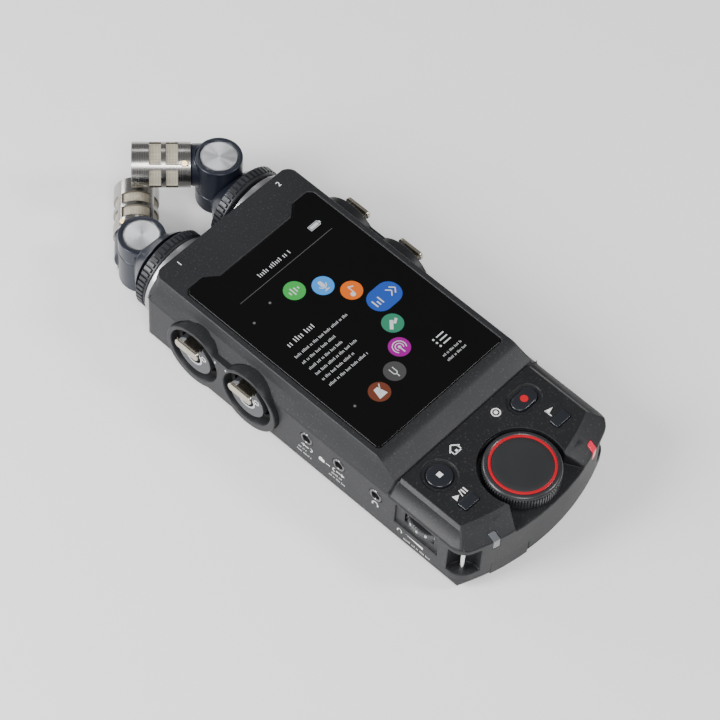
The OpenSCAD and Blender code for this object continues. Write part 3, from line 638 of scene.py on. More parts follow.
def words(x, y, x_end, height, seed):
    """A line of text stood for by rows of plain ticks, with gaps between the groups."""
    bars, at, left = [], x, 0
    lengths = (5, 3, 6, 4, 2, 6, 4)
    tall = (1.0, 0.72, 0.72, 0.95, 0.72, 0.72, 0.88)
    while at < x_end:
        left = left or lengths[seed % len(lengths)]
        top = height * tall[seed % len(tall)]
        bars.append(stroke(at, y - height / 2, at, y - height / 2 + top, height * 0.17))
        left -= 1
        seed += 1
        at += height * (0.5 if left else 0.95)
    return bars


on_glass = Matrix.Translation((0, 0, glass_z))
icon_r = 4.05
white_lit = lit("screen_white", (0.8, 0.82, 0.85), 0.62)
icon_places = {
    "green": ((-4.4, 14.0), (0.05, 0.42, 0.08)), "blue": ((4.25, 8.4), (0.06, 0.33, 0.85)),
    "orange": ((9.9, -0.1), (0.8, 0.16, 0.015)), "teal": ((9.8, -19.8), (0.035, 0.24, 0.14)),
    "purple": ((4.1, -28.3), (0.33, 0.004, 0.27)), "grey": ((-4.5, -34.0), (0.07, 0.07, 0.07)),
    "brown": ((-14.4, -36.1), (0.16, 0.045, 0.025))}
for name, (centre, colour) in icon_places.items():
    printed("screen_icon_" + name, [disc(*centre, icon_r)], on_glass,
            lit("screen_" + name, colour, 0.8), "recorder", "screen_glass")
printed("screen_icon_current", [pill(16.1, -10.0, 7.0, 4.9, 4.8)], on_glass,
        lit("screen_deep_blue", (0.025, 0.085, 0.42), 0.85), "recorder", "screen_glass")

strokes = words(-8.6, 27.2, 6.9, 1.9, 0)
strokes += [stroke(18.6, 28.6 + s, 23.2, 28.6 + s, 0.2) for s in (-1.0, 1.0)]
strokes += [stroke(x, 27.55, x, 29.65, 0.2) for x in (18.6, 23.2)]
strokes += [pill(20.9, 28.6, 1.9, 0.65, 0.1), pill(23.6, 28.6, 0.25, 0.5, 0.1)]
strokes += words(-22.6, -0.6, -8.8, 2.2, 4)
for row, (y, end) in enumerate(((-5.8, 1.8), (-9.2, -7.6), (-12.5, -8.0), (-15.6, -3.6),
                                (-18.7, -9.1), (-22.0, -5.2))):
    strokes += words(-24.4, y, end, 1.15, row)
for row in range(3):
    y = -38.2 + row * 1.75
    strokes += [disc(14.5, y, 0.42, 16), stroke(16.0, y, 19.6, y, 0.5)]
strokes += words(12.1, -41.6, 21.4, 1.0, 1) + words(11.9, -44.0, 21.6, 1.0, 5)
faint = [disc(x, y, 0.5, 20) for x, y in ((-14.2, 16.4), (-24.2, 14.3), (-24.6, -34.1))]
faint.append(stroke(-21.8, 23.4, 24.6, 23.4, 0.16))
printed("screen_faint_marks", faint, on_glass, lit("screen_faint", (0.2, 0.2, 0.21), 0.5),
        "recorder", "screen_glass")
# generic pictures on the icons: level bars, microphone, note, arrows, plug, waves, fork, clapper
strokes += [stroke(-6.4 + i * 1.3, 14.0 - h, -6.4 + i * 1.3, 14.0 + h, 0.5)
            for i, h in enumerate((0.7, 1.7, 1.1, 0.5))]
strokes += [pill(4.25, 9.2, 0.75, 1.5, 0.7), band(4.25, 9.0, 1.6, 0.4, 190, 350),
            stroke(4.25, 7.5, 4.25, 6.2, 0.4), stroke(3.2, 6.2, 5.3, 6.2, 0.4)]
strokes += [disc(9.1, -1.6, 0.95, 20), stroke(9.9, -1.6, 9.9, 1.9, 0.4),
            stroke(9.9, 1.7, 11.6, 0.8, 0.55)]
strokes += [stroke(11.3 + k, -10.0 - 1.6, 11.3 + k, -10.0 + h, 0.55)
            for k, h in ((0, 1.6), (1.4, 0.4), (2.8, 1.6))]
strokes += [stroke(x, -10.0 + s * 1.7, x + 1.6, -10.0, 0.45) for x in (18.2, 20.0) for s in (-1, 1)]
strokes += [stroke(7.6, -21.4, 10.4, -18.6, 1.3), stroke(10.2, -20.4, 12.2, -19.2, 1.0)]
strokes += [band(4.1, -28.3, 2.5, 0.35, -40, 220), band(4.1, -28.3, 1.5, 0.35, -40, 220),
            disc(4.1, -28.3, 0.6, 16), stroke(4.1, -28.3, 4.1, -31.0, 0.45)]
strokes += [stroke(-5.5, -32.2, -5.5, -34.3, 0.35), stroke(-3.9, -32.2, -3.9, -34.3, 0.35),
            band(-4.7, -34.3, 0.8, 0.35, 180, 360), stroke(-4.7, -35.0, -4.7, -36.6, 0.4)]
strokes += [[(-16.4, -38.3), (-12.6, -38.3), (-13.6, -34.2), (-15.4, -34.2)],
            stroke(-14.5, -36.8, -12.2, -33.6, 0.35)]
printed("screen_text_bars", strokes, on_glass, white_lit, "recorder", "screen_glass",
        low=-0.04, high=0.03)

# ---------------------------------------------------------------- keys
# Two large and two small keys of satin plastic; the marks are printed on their crowned tops.
key_finish = plastic("key_plastic", (0.012, 0.0135, 0.018), 0.28, bump=0.12, grain=1800,
                     **{"Coat Weight": 0.15})
button_top = panel_z + 0.5
print_white = plastic("white_print", (0.78, 0.78, 0.78), 0.5, bump=0.05)
print_red = plastic("red_print", (0.5, 0.006, 0.014), 0.35, bump=0.02)


def crowned(name, outline, top, finish, body, slot, node, crown=0.25, edge=0.55, foot=-2.4):
    """A key: straight sides, a rounded rim and a top that rises slightly to its middle."""
    middle = Vector((sum(p[0] for p in outline), sum(p[1] for p in outline))) / len(outline)
    reach = max((Vector(p) - middle).length for p in outline)
    rows = [(0.0, foot), (0.0, -edge)]
    rows += [(edge * (1 - math.cos(a)), -edge * (1 - math.sin(a)))
             for a in (math.radians(d) for d in (30, 60, 90))]
    bm = bmesh.new()
    rings = []
    for inset, z in rows:
        ring = []
        for p in outline:
            v = Vector(p) - middle
            flat = middle + v * (1 - inset / reach)
            ring.append(bm.verts.new(Vector((flat.x, flat.y, top - crown + z)) * MM))
        rings.append(ring)
    for share in (0.75, 0.5, 0.25):
        flat = [middle + (Vector(p) - middle) * share * (1 - edge / reach) for p in outline]
        height = top - crown + crown * (1 - share ** 2)
        rings.append([bm.verts.new(Vector((*p, height)) * MM) for p in flat])
    tip = bm.verts.new(Vector((*middle, top)) * MM)
    for low, high in zip(rings, rings[1:]):
        for i in range(len(low)):
            j = (i + 1) % len(low)
            bm.faces.new((low[i], low[j], high[j], high[i]))
    for i in range(len(outline)):
        bm.faces.new((rings[-1][i], rings[-1][(i + 1) % len(outline)], tip))
    bm.faces.new(rings[0][::-1])
    mesh = mesh_from(bm, name, angle=math.radians(50))
    return fitted(placed(mesh, name, finish), body, slot, node)


crowned("stop_key", disc(*stop_c, stop_r, 64), button_top, key_finish,
        "stop_button", "button_plastic", "stop_button")
crowned("record_key", pill(*record_c, *record_half, 3.15, 12), button_top, key_finish,
        "record_button", "button_plastic", "record_button")
crowned("play_key", pill(*play_c, *key_half, 0.5, 5), button_top, key_finish,
        "play_button", "button_plastic", "play_button", crown=0.08, edge=0.3)
crowned("mark_key", pill(*mark_c, *key_half, 0.5, 5), button_top, key_finish,
        "mark_button", "button_plastic", "mark_button", crown=0.08, edge=0.3)
on_keys = Matrix.Translation((0, 0, button_top))
square = [(stop_c.x + a, stop_c.y + b)
          for a, b in ((-0.95, -0.95), (0.95, -0.95), (0.95, 0.95), (-0.95, 0.95))]
printed("stop_mark", [square], on_keys, print_white, "stop_button", "button_plastic", low=-0.2)
printed("record_mark", [disc(*record_c, 1.45, 28)], on_keys, print_red, "record_button",
        "button_plastic", low=-0.2)

# Panel marks: a house, a ring, a flag, and play and pause.
marks = [stroke(-12.7, -70.1, -12.7, -67.9, 0.42), stroke(-9.3, -70.1, -9.3, -67.9, 0.42),
         stroke(-12.9, -69.9, -9.1, -69.9, 0.42), stroke(-13.4, -68.4, -11.0, -66.3, 0.5),
         stroke(-8.6, -68.4, -11.0, -66.3, 0.5), stroke(-11.0, -69.9, -11.0, -68.7, 0.9)]
marks += [band(10.0, -68.4, 1.55, 0.45, 0, 180), band(10.0, -68.4, 1.55, 0.45, 180, 360),
          disc(10.0, -68.4, 0.75, 18)]
marks += [stroke(22.4, -83.0, 22.4, -79.9, 0.4), [(22.4, -80.0), (25.4, -80.9), (22.4, -81.8)]]
marks += [[(-25.9, -83.0), (-25.9, -80.5), (-23.6, -81.75)],
          stroke(-23.1, -83.0, -22.3, -80.4, 0.35),
          stroke(-21.6, -82.9, -21.6, -80.6, 0.5), stroke(-20.5, -82.9, -20.5, -80.6, 0.5)]
printed("panel_marks", marks, Matrix.Translation((0, 0, panel_z)), print_white, "recorder",
        "panel_plastic")

# ---------------------------------------------------------------- jog dial
# A big turning knob: knurled side, a bevelled rim, a red ring let into its top, and a very
# slightly dished satin middle.
dial_c = Vector((0, -89.5, 0))
dial_top = 31.95
ring_in, ring_out = 10.95, 12.0


def turned(name, profile, place, finish, count=96, closed=False, angle=sharp_angle):
    """A piece turned on a lathe: (radius, height) pairs swept round its axis, then put in place."""
    bm = bmesh.new()
    rings = []
    for radius, height in profile:
        if radius < 1e-6:
            rings.append([bm.verts.new(place @ Vector((0, 0, height)) * MM)])
        else:
            turns = [2 * math.pi * i / count for i in range(count)]
            rings.append([bm.verts.new(place @ Vector((radius * math.cos(a), radius * math.sin(a),
                                                       height)) * MM) for a in turns])
    pairs = list(zip(rings, rings[1:]))
    if closed:
        pairs.append((rings[-1], rings[0]))
    for low, high in pairs:
        for i in range(count):
            j = (i + 1) % count
            if len(low) == 1:
                bm.faces.new((low[0], high[j], high[i]))
            elif len(high) == 1:
                bm.faces.new((low[i], low[j], high[0]))
            else:
                bm.faces.new((low[i], low[j], high[j], high[i]))
    return placed(mesh_from(bm, name, angle=angle), name, finish)


def rib_tree():
    """Copies of the piece's own mesh round a ring, each turned to face outwards."""
    tree, given, out = node_tree("ribs_round_a_ring", [
        ("Rib", "Geometry"), ("Count", "Int"), ("Radius", "Float"), ("Finish", "Material")])
    ring = node_in(tree, "GeometryNodeMeshCircle",
                   {"Vertices": given.outputs["Count"], "Radius": given.outputs["Radius"]})
    where = node_in(tree, "GeometryNodeInputPosition")
    turn = node_in(tree, "FunctionNodeAlignRotationToVector", {"Vector": where.outputs[0]},
                   axis="X", pivot_axis="Z")
    spread = node_in(tree, "GeometryNodeInstanceOnPoints",
                     {"Points": ring.outputs[0], "Instance": given.outputs["Rib"],
                      "Rotation": turn.outputs[0]})
    return end_tree(tree, given, out, spread.outputs[0])


def rib_mesh(depth, width, z0, z1, slope=0.3):
    """One upright rib with sloping ends: it starts inside the ring and stands out by depth."""
    bm = bmesh.new()
    rows = []
    for x, z in ((-0.5, z0 - slope), (depth, z0 + slope), (depth, z1 - slope), (-0.5, z1 + slope)):
        half = width / 2 if x > 0 else width / 2 + 0.12
        rows.append([bm.verts.new(Vector((x, y, z)) * MM) for y in (-half, half)])
    for low, high in zip(rows, rows[1:] + rows[:1]):
        bm.faces.new((low[0], low[1], high[1], high[0]))
    bm.faces.new([r[0] for r in rows][::-1])
    bm.faces.new([r[1] for r in rows])
    return mesh_from(bm, "rib")


ribs_round = rib_tree()
dial_finish = plastic("dial_plastic", (0.02, 0.0205, 0.023), 0.34, bump=0.15, grain=2600,
                      **{"Coat Weight": 0.1})
dial_skin_finish = plastic("dial_skin", (0.016, 0.0165, 0.018), 0.5, bump=0.4, grain=3000)
dial_place = Matrix.Translation(dial_c)
t = dial_top
dial_body = turned("dial_body", [
    (0, 25.0), (13.2, 25.0), (13.65, 25.3), (13.65, t - 1.7), (13.75, t - 1.5), (13.9, t - 1.2),
    (13.75, t - 0.75), (13.3, t - 0.35), (12.9, t - 0.22), (12.35, t - 0.12), (12.05, t - 0.3),
    (12.0, t - 0.8), (10.95, t - 0.8), (10.9, t - 0.28), (10.75, t - 0.2), (9.0, t - 0.26),
    (5.0, t - 0.34), (0, t - 0.38)], dial_place, dial_finish, 128)
dial_body.data.materials.append(dial_skin_finish)
for face in dial_body.data.polygons:
    flat = Vector(face.center) / MM - dial_c
    if face.normal.z > 0.9 and flat.xy.length < 10.8 and flat.z > 30:
        face.material_index = 1
fitted(dial_body, "dial", "dial_plastic", "jog_dial")
dial_ribs = grown(ribs_round, "dial_knurl", rib_mesh(0.42, 0.55, 25.5, dial_top - 1.9, 0.2),
                  dial_place, dial_finish, {"Count": 84, "Radius": 13.6 * MM})
fitted(dial_ribs, "dial", "dial_plastic")
# The red ring's faint red emission is a painted glow: the ring is plain plastic, not a lamp.
red_ring_with_painted_glow = plastic("red_ring", (0.4, 0.003, 0.012), 0.3, bump=0.0,
                     **{"Emission Color": (0.8, 0.01, 0.02, 1), "Emission Strength": 0.06})
ring = turned("dial_red_ring", [
    (ring_in + 0.02, t - 0.8), (ring_in + 0.05, t - 0.12), (ring_in + 0.25, t - 0.02),
    (ring_out - 0.25, t - 0.02), (ring_out - 0.02, t - 0.14), (ring_out - 0.02, t - 0.8)],
    dial_place, red_ring_with_painted_glow, 128, closed=True)
fitted(ring, "dial", "red_plastic", "dial_ring")

# ---------------------------------------------------------------- volume wheel
# A thumb wheel in a slot of the left wall, knurled, with a printed scale round its rim.
wheel_c = Vector((-29, -77.1, 0))
wheel_place = Matrix.Translation(wheel_c)
wheel = turned("volume_drum", [
    (1.6, 16.85), (9.6, 16.85), (9.85, 17.1), (9.85, 20.7), (9.6, 20.95), (1.6, 20.95)],
    wheel_place, dial_finish, 96, closed=True)
fitted(wheel, "volume_wheel", "dial_plastic", "volume_wheel")
for rim, (low, high) in (("lower", (16.9, 17.7)), ("upper", (20.1, 20.9))):
    knurl = grown(ribs_round, "volume_knurl_" + rim, rib_mesh(0.2, 0.5, low, high, 0.1),
                  wheel_place, dial_finish, {"Count": 60, "Radius": 9.83 * MM})
    fitted(knurl, "volume_wheel", "dial_plastic")


def lettered(name, text, size, place, finish, body, slot, depth=0.04):
    """Plain printed digits, as a mesh of their own."""
    curve = bpy.data.curves.new(name, "FONT")
    curve.body = text
    curve.size = size * MM
    curve.extrude = depth * MM
    curve.align_x, curve.align_y = "CENTER", "CENTER"
    source = bpy.data.objects.new(name + "_curve", curve)
    bpy.context.scene.collection.objects.link(source)
    bpy.context.view_layer.update()
    drawn = source.evaluated_get(bpy.context.evaluated_depsgraph_get())
    mesh = bpy.data.meshes.new_from_object(drawn)
    bpy.data.objects.remove(source)
    mesh.transform(Matrix.Scale(MM, 4) @ place @ Matrix.Scale(1 / MM, 4))
    mesh.materials.clear()
    return fitted(placed(mesh, name, finish), body, slot)


for step in range(5):
    angle = math.radians(180 + (step - 2) * 21)
    out_x = Matrix(((0, 0, 1, 0), (1, 0, 0, 0), (0, 1, 0, 0), (0, 0, 0, 1)))
    spot = (wheel_place @ Matrix.Rotation(angle, 4, "Z")
            @ Matrix.Translation((9.86, 0, 18.9)) @ out_x)
    lettered("volume_digit_%d" % (step * 2), str(step * 2 + 2), 2.0, spot, print_white,
             "volume_wheel", "dial_plastic")

# ---------------------------------------------------------------- jack pads and combo inlets
# On each side a raised figure-of-eight pad holds two inlets. Each takes a three-pin plug round
# its insert or a 6.35 mm plug in the middle, and a sprung metal tab releases the plug.
axis_z = 17.4
jack_y = (27.9, 2.0)
pad_finish = plastic("pad_plastic", (0.017, 0.0175, 0.0195), 0.42, flecks=0.4,
                     fleck_colour=(0.045, 0.046, 0.05), bump=0.3, **{"Specular IOR Level": 0.3})
insert_finish = plastic("insert_grey", (0.07, 0.073, 0.08), 0.33, bump=0.1, **{"Metallic": 0.55})
latch_finish = metal("latch_nickel", (0.62, 0.57, 0.47), 0.24, (1, 0, 0), 2500, 0.25, 0.2)
gold_finish = metal("contact_gold", (0.8, 0.6, 0.25), 0.2)
steel_bright = metal("bright_steel", (0.78, 0.78, 0.8), 0.16, tarnish=0.05)
for side, x in (("left", -1), ("right", 1)):
    pad = rounded("jack_pad_" + side, "inlet_pad_" + side, pad_finish, 0.45, steps=3,
                  weigh=lambda m: 1.0 if abs(m.x) > 40.3 else 0.0)
    fitted(pad, "recorder", "case_plastic", "jack_pad_" + side)
    cups = rounded("combo_jacks_" + side, "combo_inlets_" + side, insert_finish, 0.3, steps=2,
                   weigh=lambda m: 1.0 if abs(m.x) > 39.9 else 0.3)
    cups.data.materials.append(inner_black)
    for face in cups.data.polygons:
        c = face.center / MM
        y = min(jack_y, key=lambda j: abs(c.y - j))
        r = math.hypot(c.y - y, c.z - axis_z)
        if (r < 3.15 and abs(c.x) < 40) or (r > 8.05 and abs(c.x) < 33.4) or abs(c.x) < 33:
            face.material_index = 1
    fitted(cups, "recorder", "inlet_metal", "combo_jacks_" + side)
    for level, y in zip(("upper", "lower"), jack_y):
        outward = Matrix(((0, 0, x, 0), (-1, 0, 0, 0), (0, -x, 0, 0), (0, 0, 0, 1)))
        seat = Matrix.Translation((0, y, axis_z)) @ outward
        label = "%s_%s" % (side, level)
        lip = turned("inlet_lip_" + label, [
            (11.25, 36.5), (11.25, 40.0), (11.4, 40.3), (11.65, 40.44), (11.85, 40.34),
            (11.85, 36.5)], seat, pad_finish, 72, closed=True)
        fitted(lip, "recorder", "case_plastic")
        liner = turned("inlet_liner_" + label, [
            (9.55, 27.2), (9.55, 36.4), (9.9, 36.7), (11.2, 36.7), (11.2, 27.2)],
            seat, inner_black, 72, closed=True)
        fitted(liner, "recorder", "black_plastic")
        rim = turned("insert_rim_" + label, [
            (3.35, 40.1), (3.3, 40.3), (3.5, 40.42), (3.85, 40.42), (4.05, 40.3), (4.05, 40.1)],
            seat, steel_bright, 48, closed=True)
        fitted(rim, "recorder", "inlet_metal")
        pin = turned("tip_contact_" + label, [
            (0, 24.5), (0.9, 24.5), (0.9, 27.5), (0.55, 28.3), (0, 28.5)],
            seat @ Matrix.Translation((0.8, 1.2, 0)), gold_finish, 20)
        fitted(pin, "recorder", "brass_parts")
        for k, turn in enumerate((-90 + 62, -90, -90 - 62)):
            angle = math.radians(turn + 180)
            spot = Vector((5.35 * math.cos(angle), 5.35 * math.sin(angle), 0))
            hole = turned("pin_socket_%s_%d" % (label, k + 1), [
                (0, 40.16), (0.78, 40.16), (0.84, 40.3), (1.1, 40.34), (1.28, 40.26),
                (1.3, 40.05), (0, 40.05)], seat @ Matrix.Translation(spot), steel_bright, 24)
            # Each socket's middle is a flat disc in black: painted shade that stands for the pin
            # hole.
            hole.data.materials.append(inner_black)
            for face in hole.data.polygons:
                local = seat.inverted() @ (face.center / MM)
                if (local.xy - spot.xy).length < 0.8:
                    face.material_index = 1
            fitted(hole, "recorder", "steel_parts")
        tab = rounded("latch_" + label, "release_tab_" + label, latch_finish, 0.25, steps=2)
        fitted(tab, "latch_" + label, "latch_metal", "latch_" + label)

# ---------------------------------------------------------------- small sockets and side parts
# Three 3.5 mm sockets with plated rims on the left; a power slider, a USB socket and the card
# door on the right; two clear light pipes, the adapter cover and strap posts at the bottom end.
mini_y, mini_z = (-24.9, -40.2, -57.5), 19.2
wall_x = 38.3
socket_finish = metal("dark_nickel", (0.16, 0.16, 0.17), 0.25, tarnish=0.1)
dressed(inner_black, "mini_jacks")
for number, y in enumerate(mini_y, 1):
    seat = Matrix(((0, 0, -1, 0), (-1, 0, 0, y), (0, 1, 0, mini_z), (0, 0, 0, 1)))
    collar = turned("mini_socket_rim_%d" % number, [
        (1.86, 37.0), (1.86, 38.25), (2.0, 38.42), (2.35, 38.48), (2.6, 38.4), (2.74, 38.2),
        (2.74, 37.0)], seat, socket_finish, 40, closed=True)
    fitted(collar, "recorder", "steel_parts")
    spring = turned("mini_socket_spring_%d" % number, [
        (1.1, 30.0), (1.55, 30.0), (1.55, 35.4), (1.4, 35.6), (1.1, 35.0)],
        seat @ Matrix.Translation((0.2, -0.2, 0)), steel_bright, 24, closed=True)
    fitted(spring, "recorder", "steel_parts")
dressed(steel_bright, "strap_posts")
clear_finish = plastic("clear_lens", (0.11, 0.115, 0.125), 0.12, bump=0.02, **{"Coat Weight": 0.6})
red_lens = plastic("lit_red_lens", (0.5, 0.006, 0.03), 0.15, bump=0.02,
                   **{"Coat Weight": 0.6, "Emission Color": (1.0, 0.03, 0.09, 1),
                      "Emission Strength": 0.55})
fitted(rounded("peak_light", "peak_lens", clear_finish, 0.22), "recorder", "clear_plastic",
       "peak_light")
fitted(rounded("record_light", "record_lens", red_lens, 0.22), "recorder", "red_plastic",
       "record_light")
fitted(rounded("adapter_cover", "adapter_lid", case_finish, 0.18), "adapter_cover", "case_plastic",
       "adapter_cover")
fitted(rounded("card_door", "card_lid", case_finish, 0.12), "card_door", "case_plastic",
       "card_door")
fitted(rounded("power_switch", "power_slider", key_finish, 0.15), "power_switch", "black_plastic",
       "power_switch")
slider_low, slider_high = (Vector(v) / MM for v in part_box("power_switch"))
slider_mid = (slider_low + slider_high) / 2
slider_grip = grown(row_of_ridges, "power_slider_grip", ridge_mesh(2.2, 0.4, 0.25),
                    Matrix.Translation((slider_high.x - 0.03, slider_mid.y - 1.05, slider_mid.z))
                    @ Matrix.Rotation(math.radians(90), 4, "Y"), key_finish,
                    {"Count": 4, "Step": (0, 0.7 * MM, 0)})
fitted(slider_grip, "power_switch", "black_plastic")
card_high = Vector(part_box("card_door")[1]) / MM
card_grip = grown(row_of_ridges, "card_lid_grip", ridge_mesh(0.45, 4.0, 0.22),
                  Matrix.Translation((card_high.x - 0.02, -63, card_high.z - 2.0))
                  @ Matrix.Rotation(math.radians(90), 4, "Y"), case_finish,
                  {"Count": 2, "Step": (0.9 * MM, 0, 0)})
fitted(card_grip, "card_door", "case_plastic")

# Side prints: generic symbols only, as flat white ink.
left_wall = Matrix(((0, 0, -1, -wall_x), (-1, 0, 0, 0), (0, 1, 0, 0), (0, 0, 0, 1)))
ink = [band(57.7, 14.2, 1.15, 0.35, 0, 180), pill(56.5, 13.8, 0.3, 0.6, 0.2),
       pill(58.9, 13.8, 0.3, 0.6, 0.2)]
ink += [stroke(23.0, 14.4, 26.2, 14.4, 0.4), [(24.0, 15.3), (24.0, 13.5), (22.6, 14.4)],
        band(27.0, 14.4, 0.9, 0.35, -90, 90)]
ink += [pill(32.4, 14.2, 1.3, 0.85, 0.25), pill(32.1, 15.2, 0.55, 0.3, 0.1),
        stroke(34.4, 14.2, 36.4, 14.2, 0.35)]
ink += [stroke(39.3, 14.4, 42.5, 14.4, 0.4), [(41.8, 15.3), (43.2, 14.4), (41.8, 13.5)],
        band(38.6, 14.4, 0.9, 0.35, 90, 270)]
for y0, z0, y1, size in ((21.6, 11.8, 25.4, 1.0), (21.0, 9.6, 27.6, 1.0), (37.4, 11.8, 42.6, 1.0),
                         (36.2, 9.6, 43.6, 1.0), (71.5, 7.4, 84.0, 1.1)):
    ink += words(y0, z0, y1, size, round(y0))
ink += [[(72.2, 10.9), (80.2, 9.7), (80.2, 10.9)], band(69.4, 10.2, 0.9, 0.3, 0, 180),
        pill(68.5, 9.9, 0.25, 0.45, 0.15), pill(70.3, 9.9, 0.25, 0.45, 0.15)]
printed("left_wall_ink", ink, left_wall, print_white, "recorder", "case_plastic")
right_wall = Matrix(((0, 0, 1, wall_x), (1, 0, 0, 0), (0, 1, 0, 0), (0, 0, 0, 1)))
ink = [band(-26, 18.6, 0.85, 0.3, 125, 415), stroke(-26, 18.5, -26, 20.0, 0.3)]
ink += [stroke(-46.0, 17.4, -42.0, 17.4, 0.3), disc(-46.0, 17.4, 0.5, 16),
        [(-42.2, 18.0), (-41.2, 17.4), (-42.2, 16.8)]]
printed("right_wall_ink", ink, right_wall, print_white, "recorder", "case_plastic")
for digit, x, y in (("1", -24.5, 50.6), ("2", 25.3, 50.4)):
    lettered("mic_digit_" + digit, digit, 3.0, Matrix.Translation((x, y, glass_z)), print_white,
             "recorder", "case_plastic")
pad_face = Matrix(((0, 0, -1, -40.4), (-1, 0, 0, 0), (0, 1, 0, 0), (0, 0, 0, 1)))
for digit, y in (("3", 17.4), ("4", 12.3)):
    lettered("inlet_digit_" + digit, digit, 1.7,
             pad_face @ Matrix.Translation((-y, axis_z + 7.0, 0)), print_white,
             "recorder", "case_plastic")

# ---------------------------------------------------------------- microphone seats and lock rings
# Each microphone screws on to an aluminium seat, and a knurled ring locks it there.
mic_x, pivot_y = 19.6, 74.8
seat_finish = metal("seat_aluminium", (0.5, 0.5, 0.52), 0.35, (0, 1, 0), 3000, 0.15)
ring_finish = plastic("ring_black", (0.03, 0.031, 0.035), 0.36, bump=0.12, **{"Metallic": 0.3})
for side, x, ring_y in (("left", -1, 57.4), ("right", 1, 58.7)):
    fitted(rounded("mic_mount_" + side, "mic_seat_" + side, seat_finish, 0.35), "recorder",
           "seat_metal", "mic_mount_" + side)
    collar_place = (Matrix.Translation((x * mic_x, ring_y, axis_z))
                    @ Matrix.Rotation(-math.pi / 2, 4, "X"))
    collar = turned("lock_collar_" + side, [
        (11.1, 0.05), (15.3, 0.05), (15.75, 0.4), (15.75, 0.75), (15.45, 0.95), (15.45, 4.3),
        (15.2, 4.7),
        (14.6, 4.95), (11.5, 4.95), (11.1, 4.6)], collar_place, ring_finish, 128, closed=True)
    fitted(collar, "lock_ring_" + side, "ring_metal", "lock_ring_" + side)
    teeth = grown(ribs_round, "lock_teeth_" + side, rib_mesh(0.75, 1.15, 1.0, 4.55, 0.35),
                  collar_place, ring_finish, {"Count": 48, "Radius": 15.4 * MM})
    fitted(teeth, "lock_ring_" + side, "ring_metal")

# ---------------------------------------------------------------- microphone necks and arms
# A cone and the lower half of the pivot barrel are one satin black casting; the upper half
# turns on a pin and carries the capsule. Spun aluminium discs close both ends of the barrel.
arm_finish = plastic("arm_black", (0.014, 0.017, 0.028), 0.33, bump=0.08, grain=3000,
                     **{"Metallic": 0.35, "Coat Weight": 0.15})
barrel_low, barrel_top, disc_r, disc_t = -6.7, 17.0, 6.8, 0.9


def spun(name):
    """Aluminium turned on a face plate: round marks give two bright fans of light."""
    finish = metal(name, (0.86, 0.87, 0.9), 0.27, (1, 0, 0), 10, 0.02, 0.0)
    shader = finish.node_tree.nodes["Principled BSDF"]
    shader.inputs["Anisotropic"].default_value = 0.92
    tangent = finish.node_tree.nodes.new("ShaderNodeTangent")
    tangent.direction_type = "RADIAL"
    tangent.axis = "Z"
    finish.node_tree.links.new(tangent.outputs[0], shader.inputs["Tangent"])
    return finish


spun_finish = spun("spun_aluminium")
mic_places = {}
for side, x in (("left", -1), ("right", 1)):
    mic_places[side] = (Matrix.Translation((x * mic_x, 0, axis_z))
                        @ Matrix.Rotation(0 if x > 0 else math.pi, 4, "Y"))
    arm_body = "mic_arm_" + side
    fitted(rounded("mic_neck_" + side, "neck_casting_" + side, arm_finish, 0.45, steps=3),
           "recorder", "arm_metal", "mic_neck_" + side)
    fitted(rounded("mic_arm_" + side, "arm_casting_" + side, arm_finish, 0.55, steps=3), arm_body,
           "arm_metal", "mic_arm_" + side)
    pivot = mic_places[side] @ Matrix.Translation((0, pivot_y, 0))
    face_disc = [(0, 0), (disc_r, 0), (disc_r, 0.55), (disc_r - 0.1, 0.8), (disc_r - 0.4, 0.92),
                 (disc_r - 0.55, 0.86), (0, 0.86)]
    top_disc = turned("pivot_cap_" + side, face_disc,
                      pivot @ Matrix.Translation((0, 0, barrel_top - disc_t)),
                      spun_finish, 96, angle=math.radians(20))
    fitted(top_disc, arm_body, "spun_aluminium", "pivot_disc_" + side)
    low_disc = turned("neck_cap_" + side, face_disc,
                      pivot @ Matrix.Translation((0, 0, barrel_low + disc_t))
                      @ Matrix.Rotation(math.pi, 4, "X"), spun_finish, 96, angle=math.radians(20))
    fitted(low_disc, "recorder", "spun_aluminium", *(["neck_discs"] if side == "left" else []))

# ---------------------------------------------------------------- capsules
# A turned steel cage with two rows of windows, woven brass gauze behind them, the black
# capsule inside, and two small brass screws through the rear band.
cage_r, wire_r = 8.35, 0.09
gauze_low, gauze_high, gauze_r = 13.7, 29.9, 7.4
gauze_finish = metal("gauze_brass", (0.62, 0.57, 0.46), 0.42, tarnish=0.3)
backing_finish = plastic("gauze_backing", (0.2, 0.18, 0.14), 0.7, flecks=0.8,
                         fleck_colour=(0.5, 0.46, 0.36), grain=5200, bump=0.6)


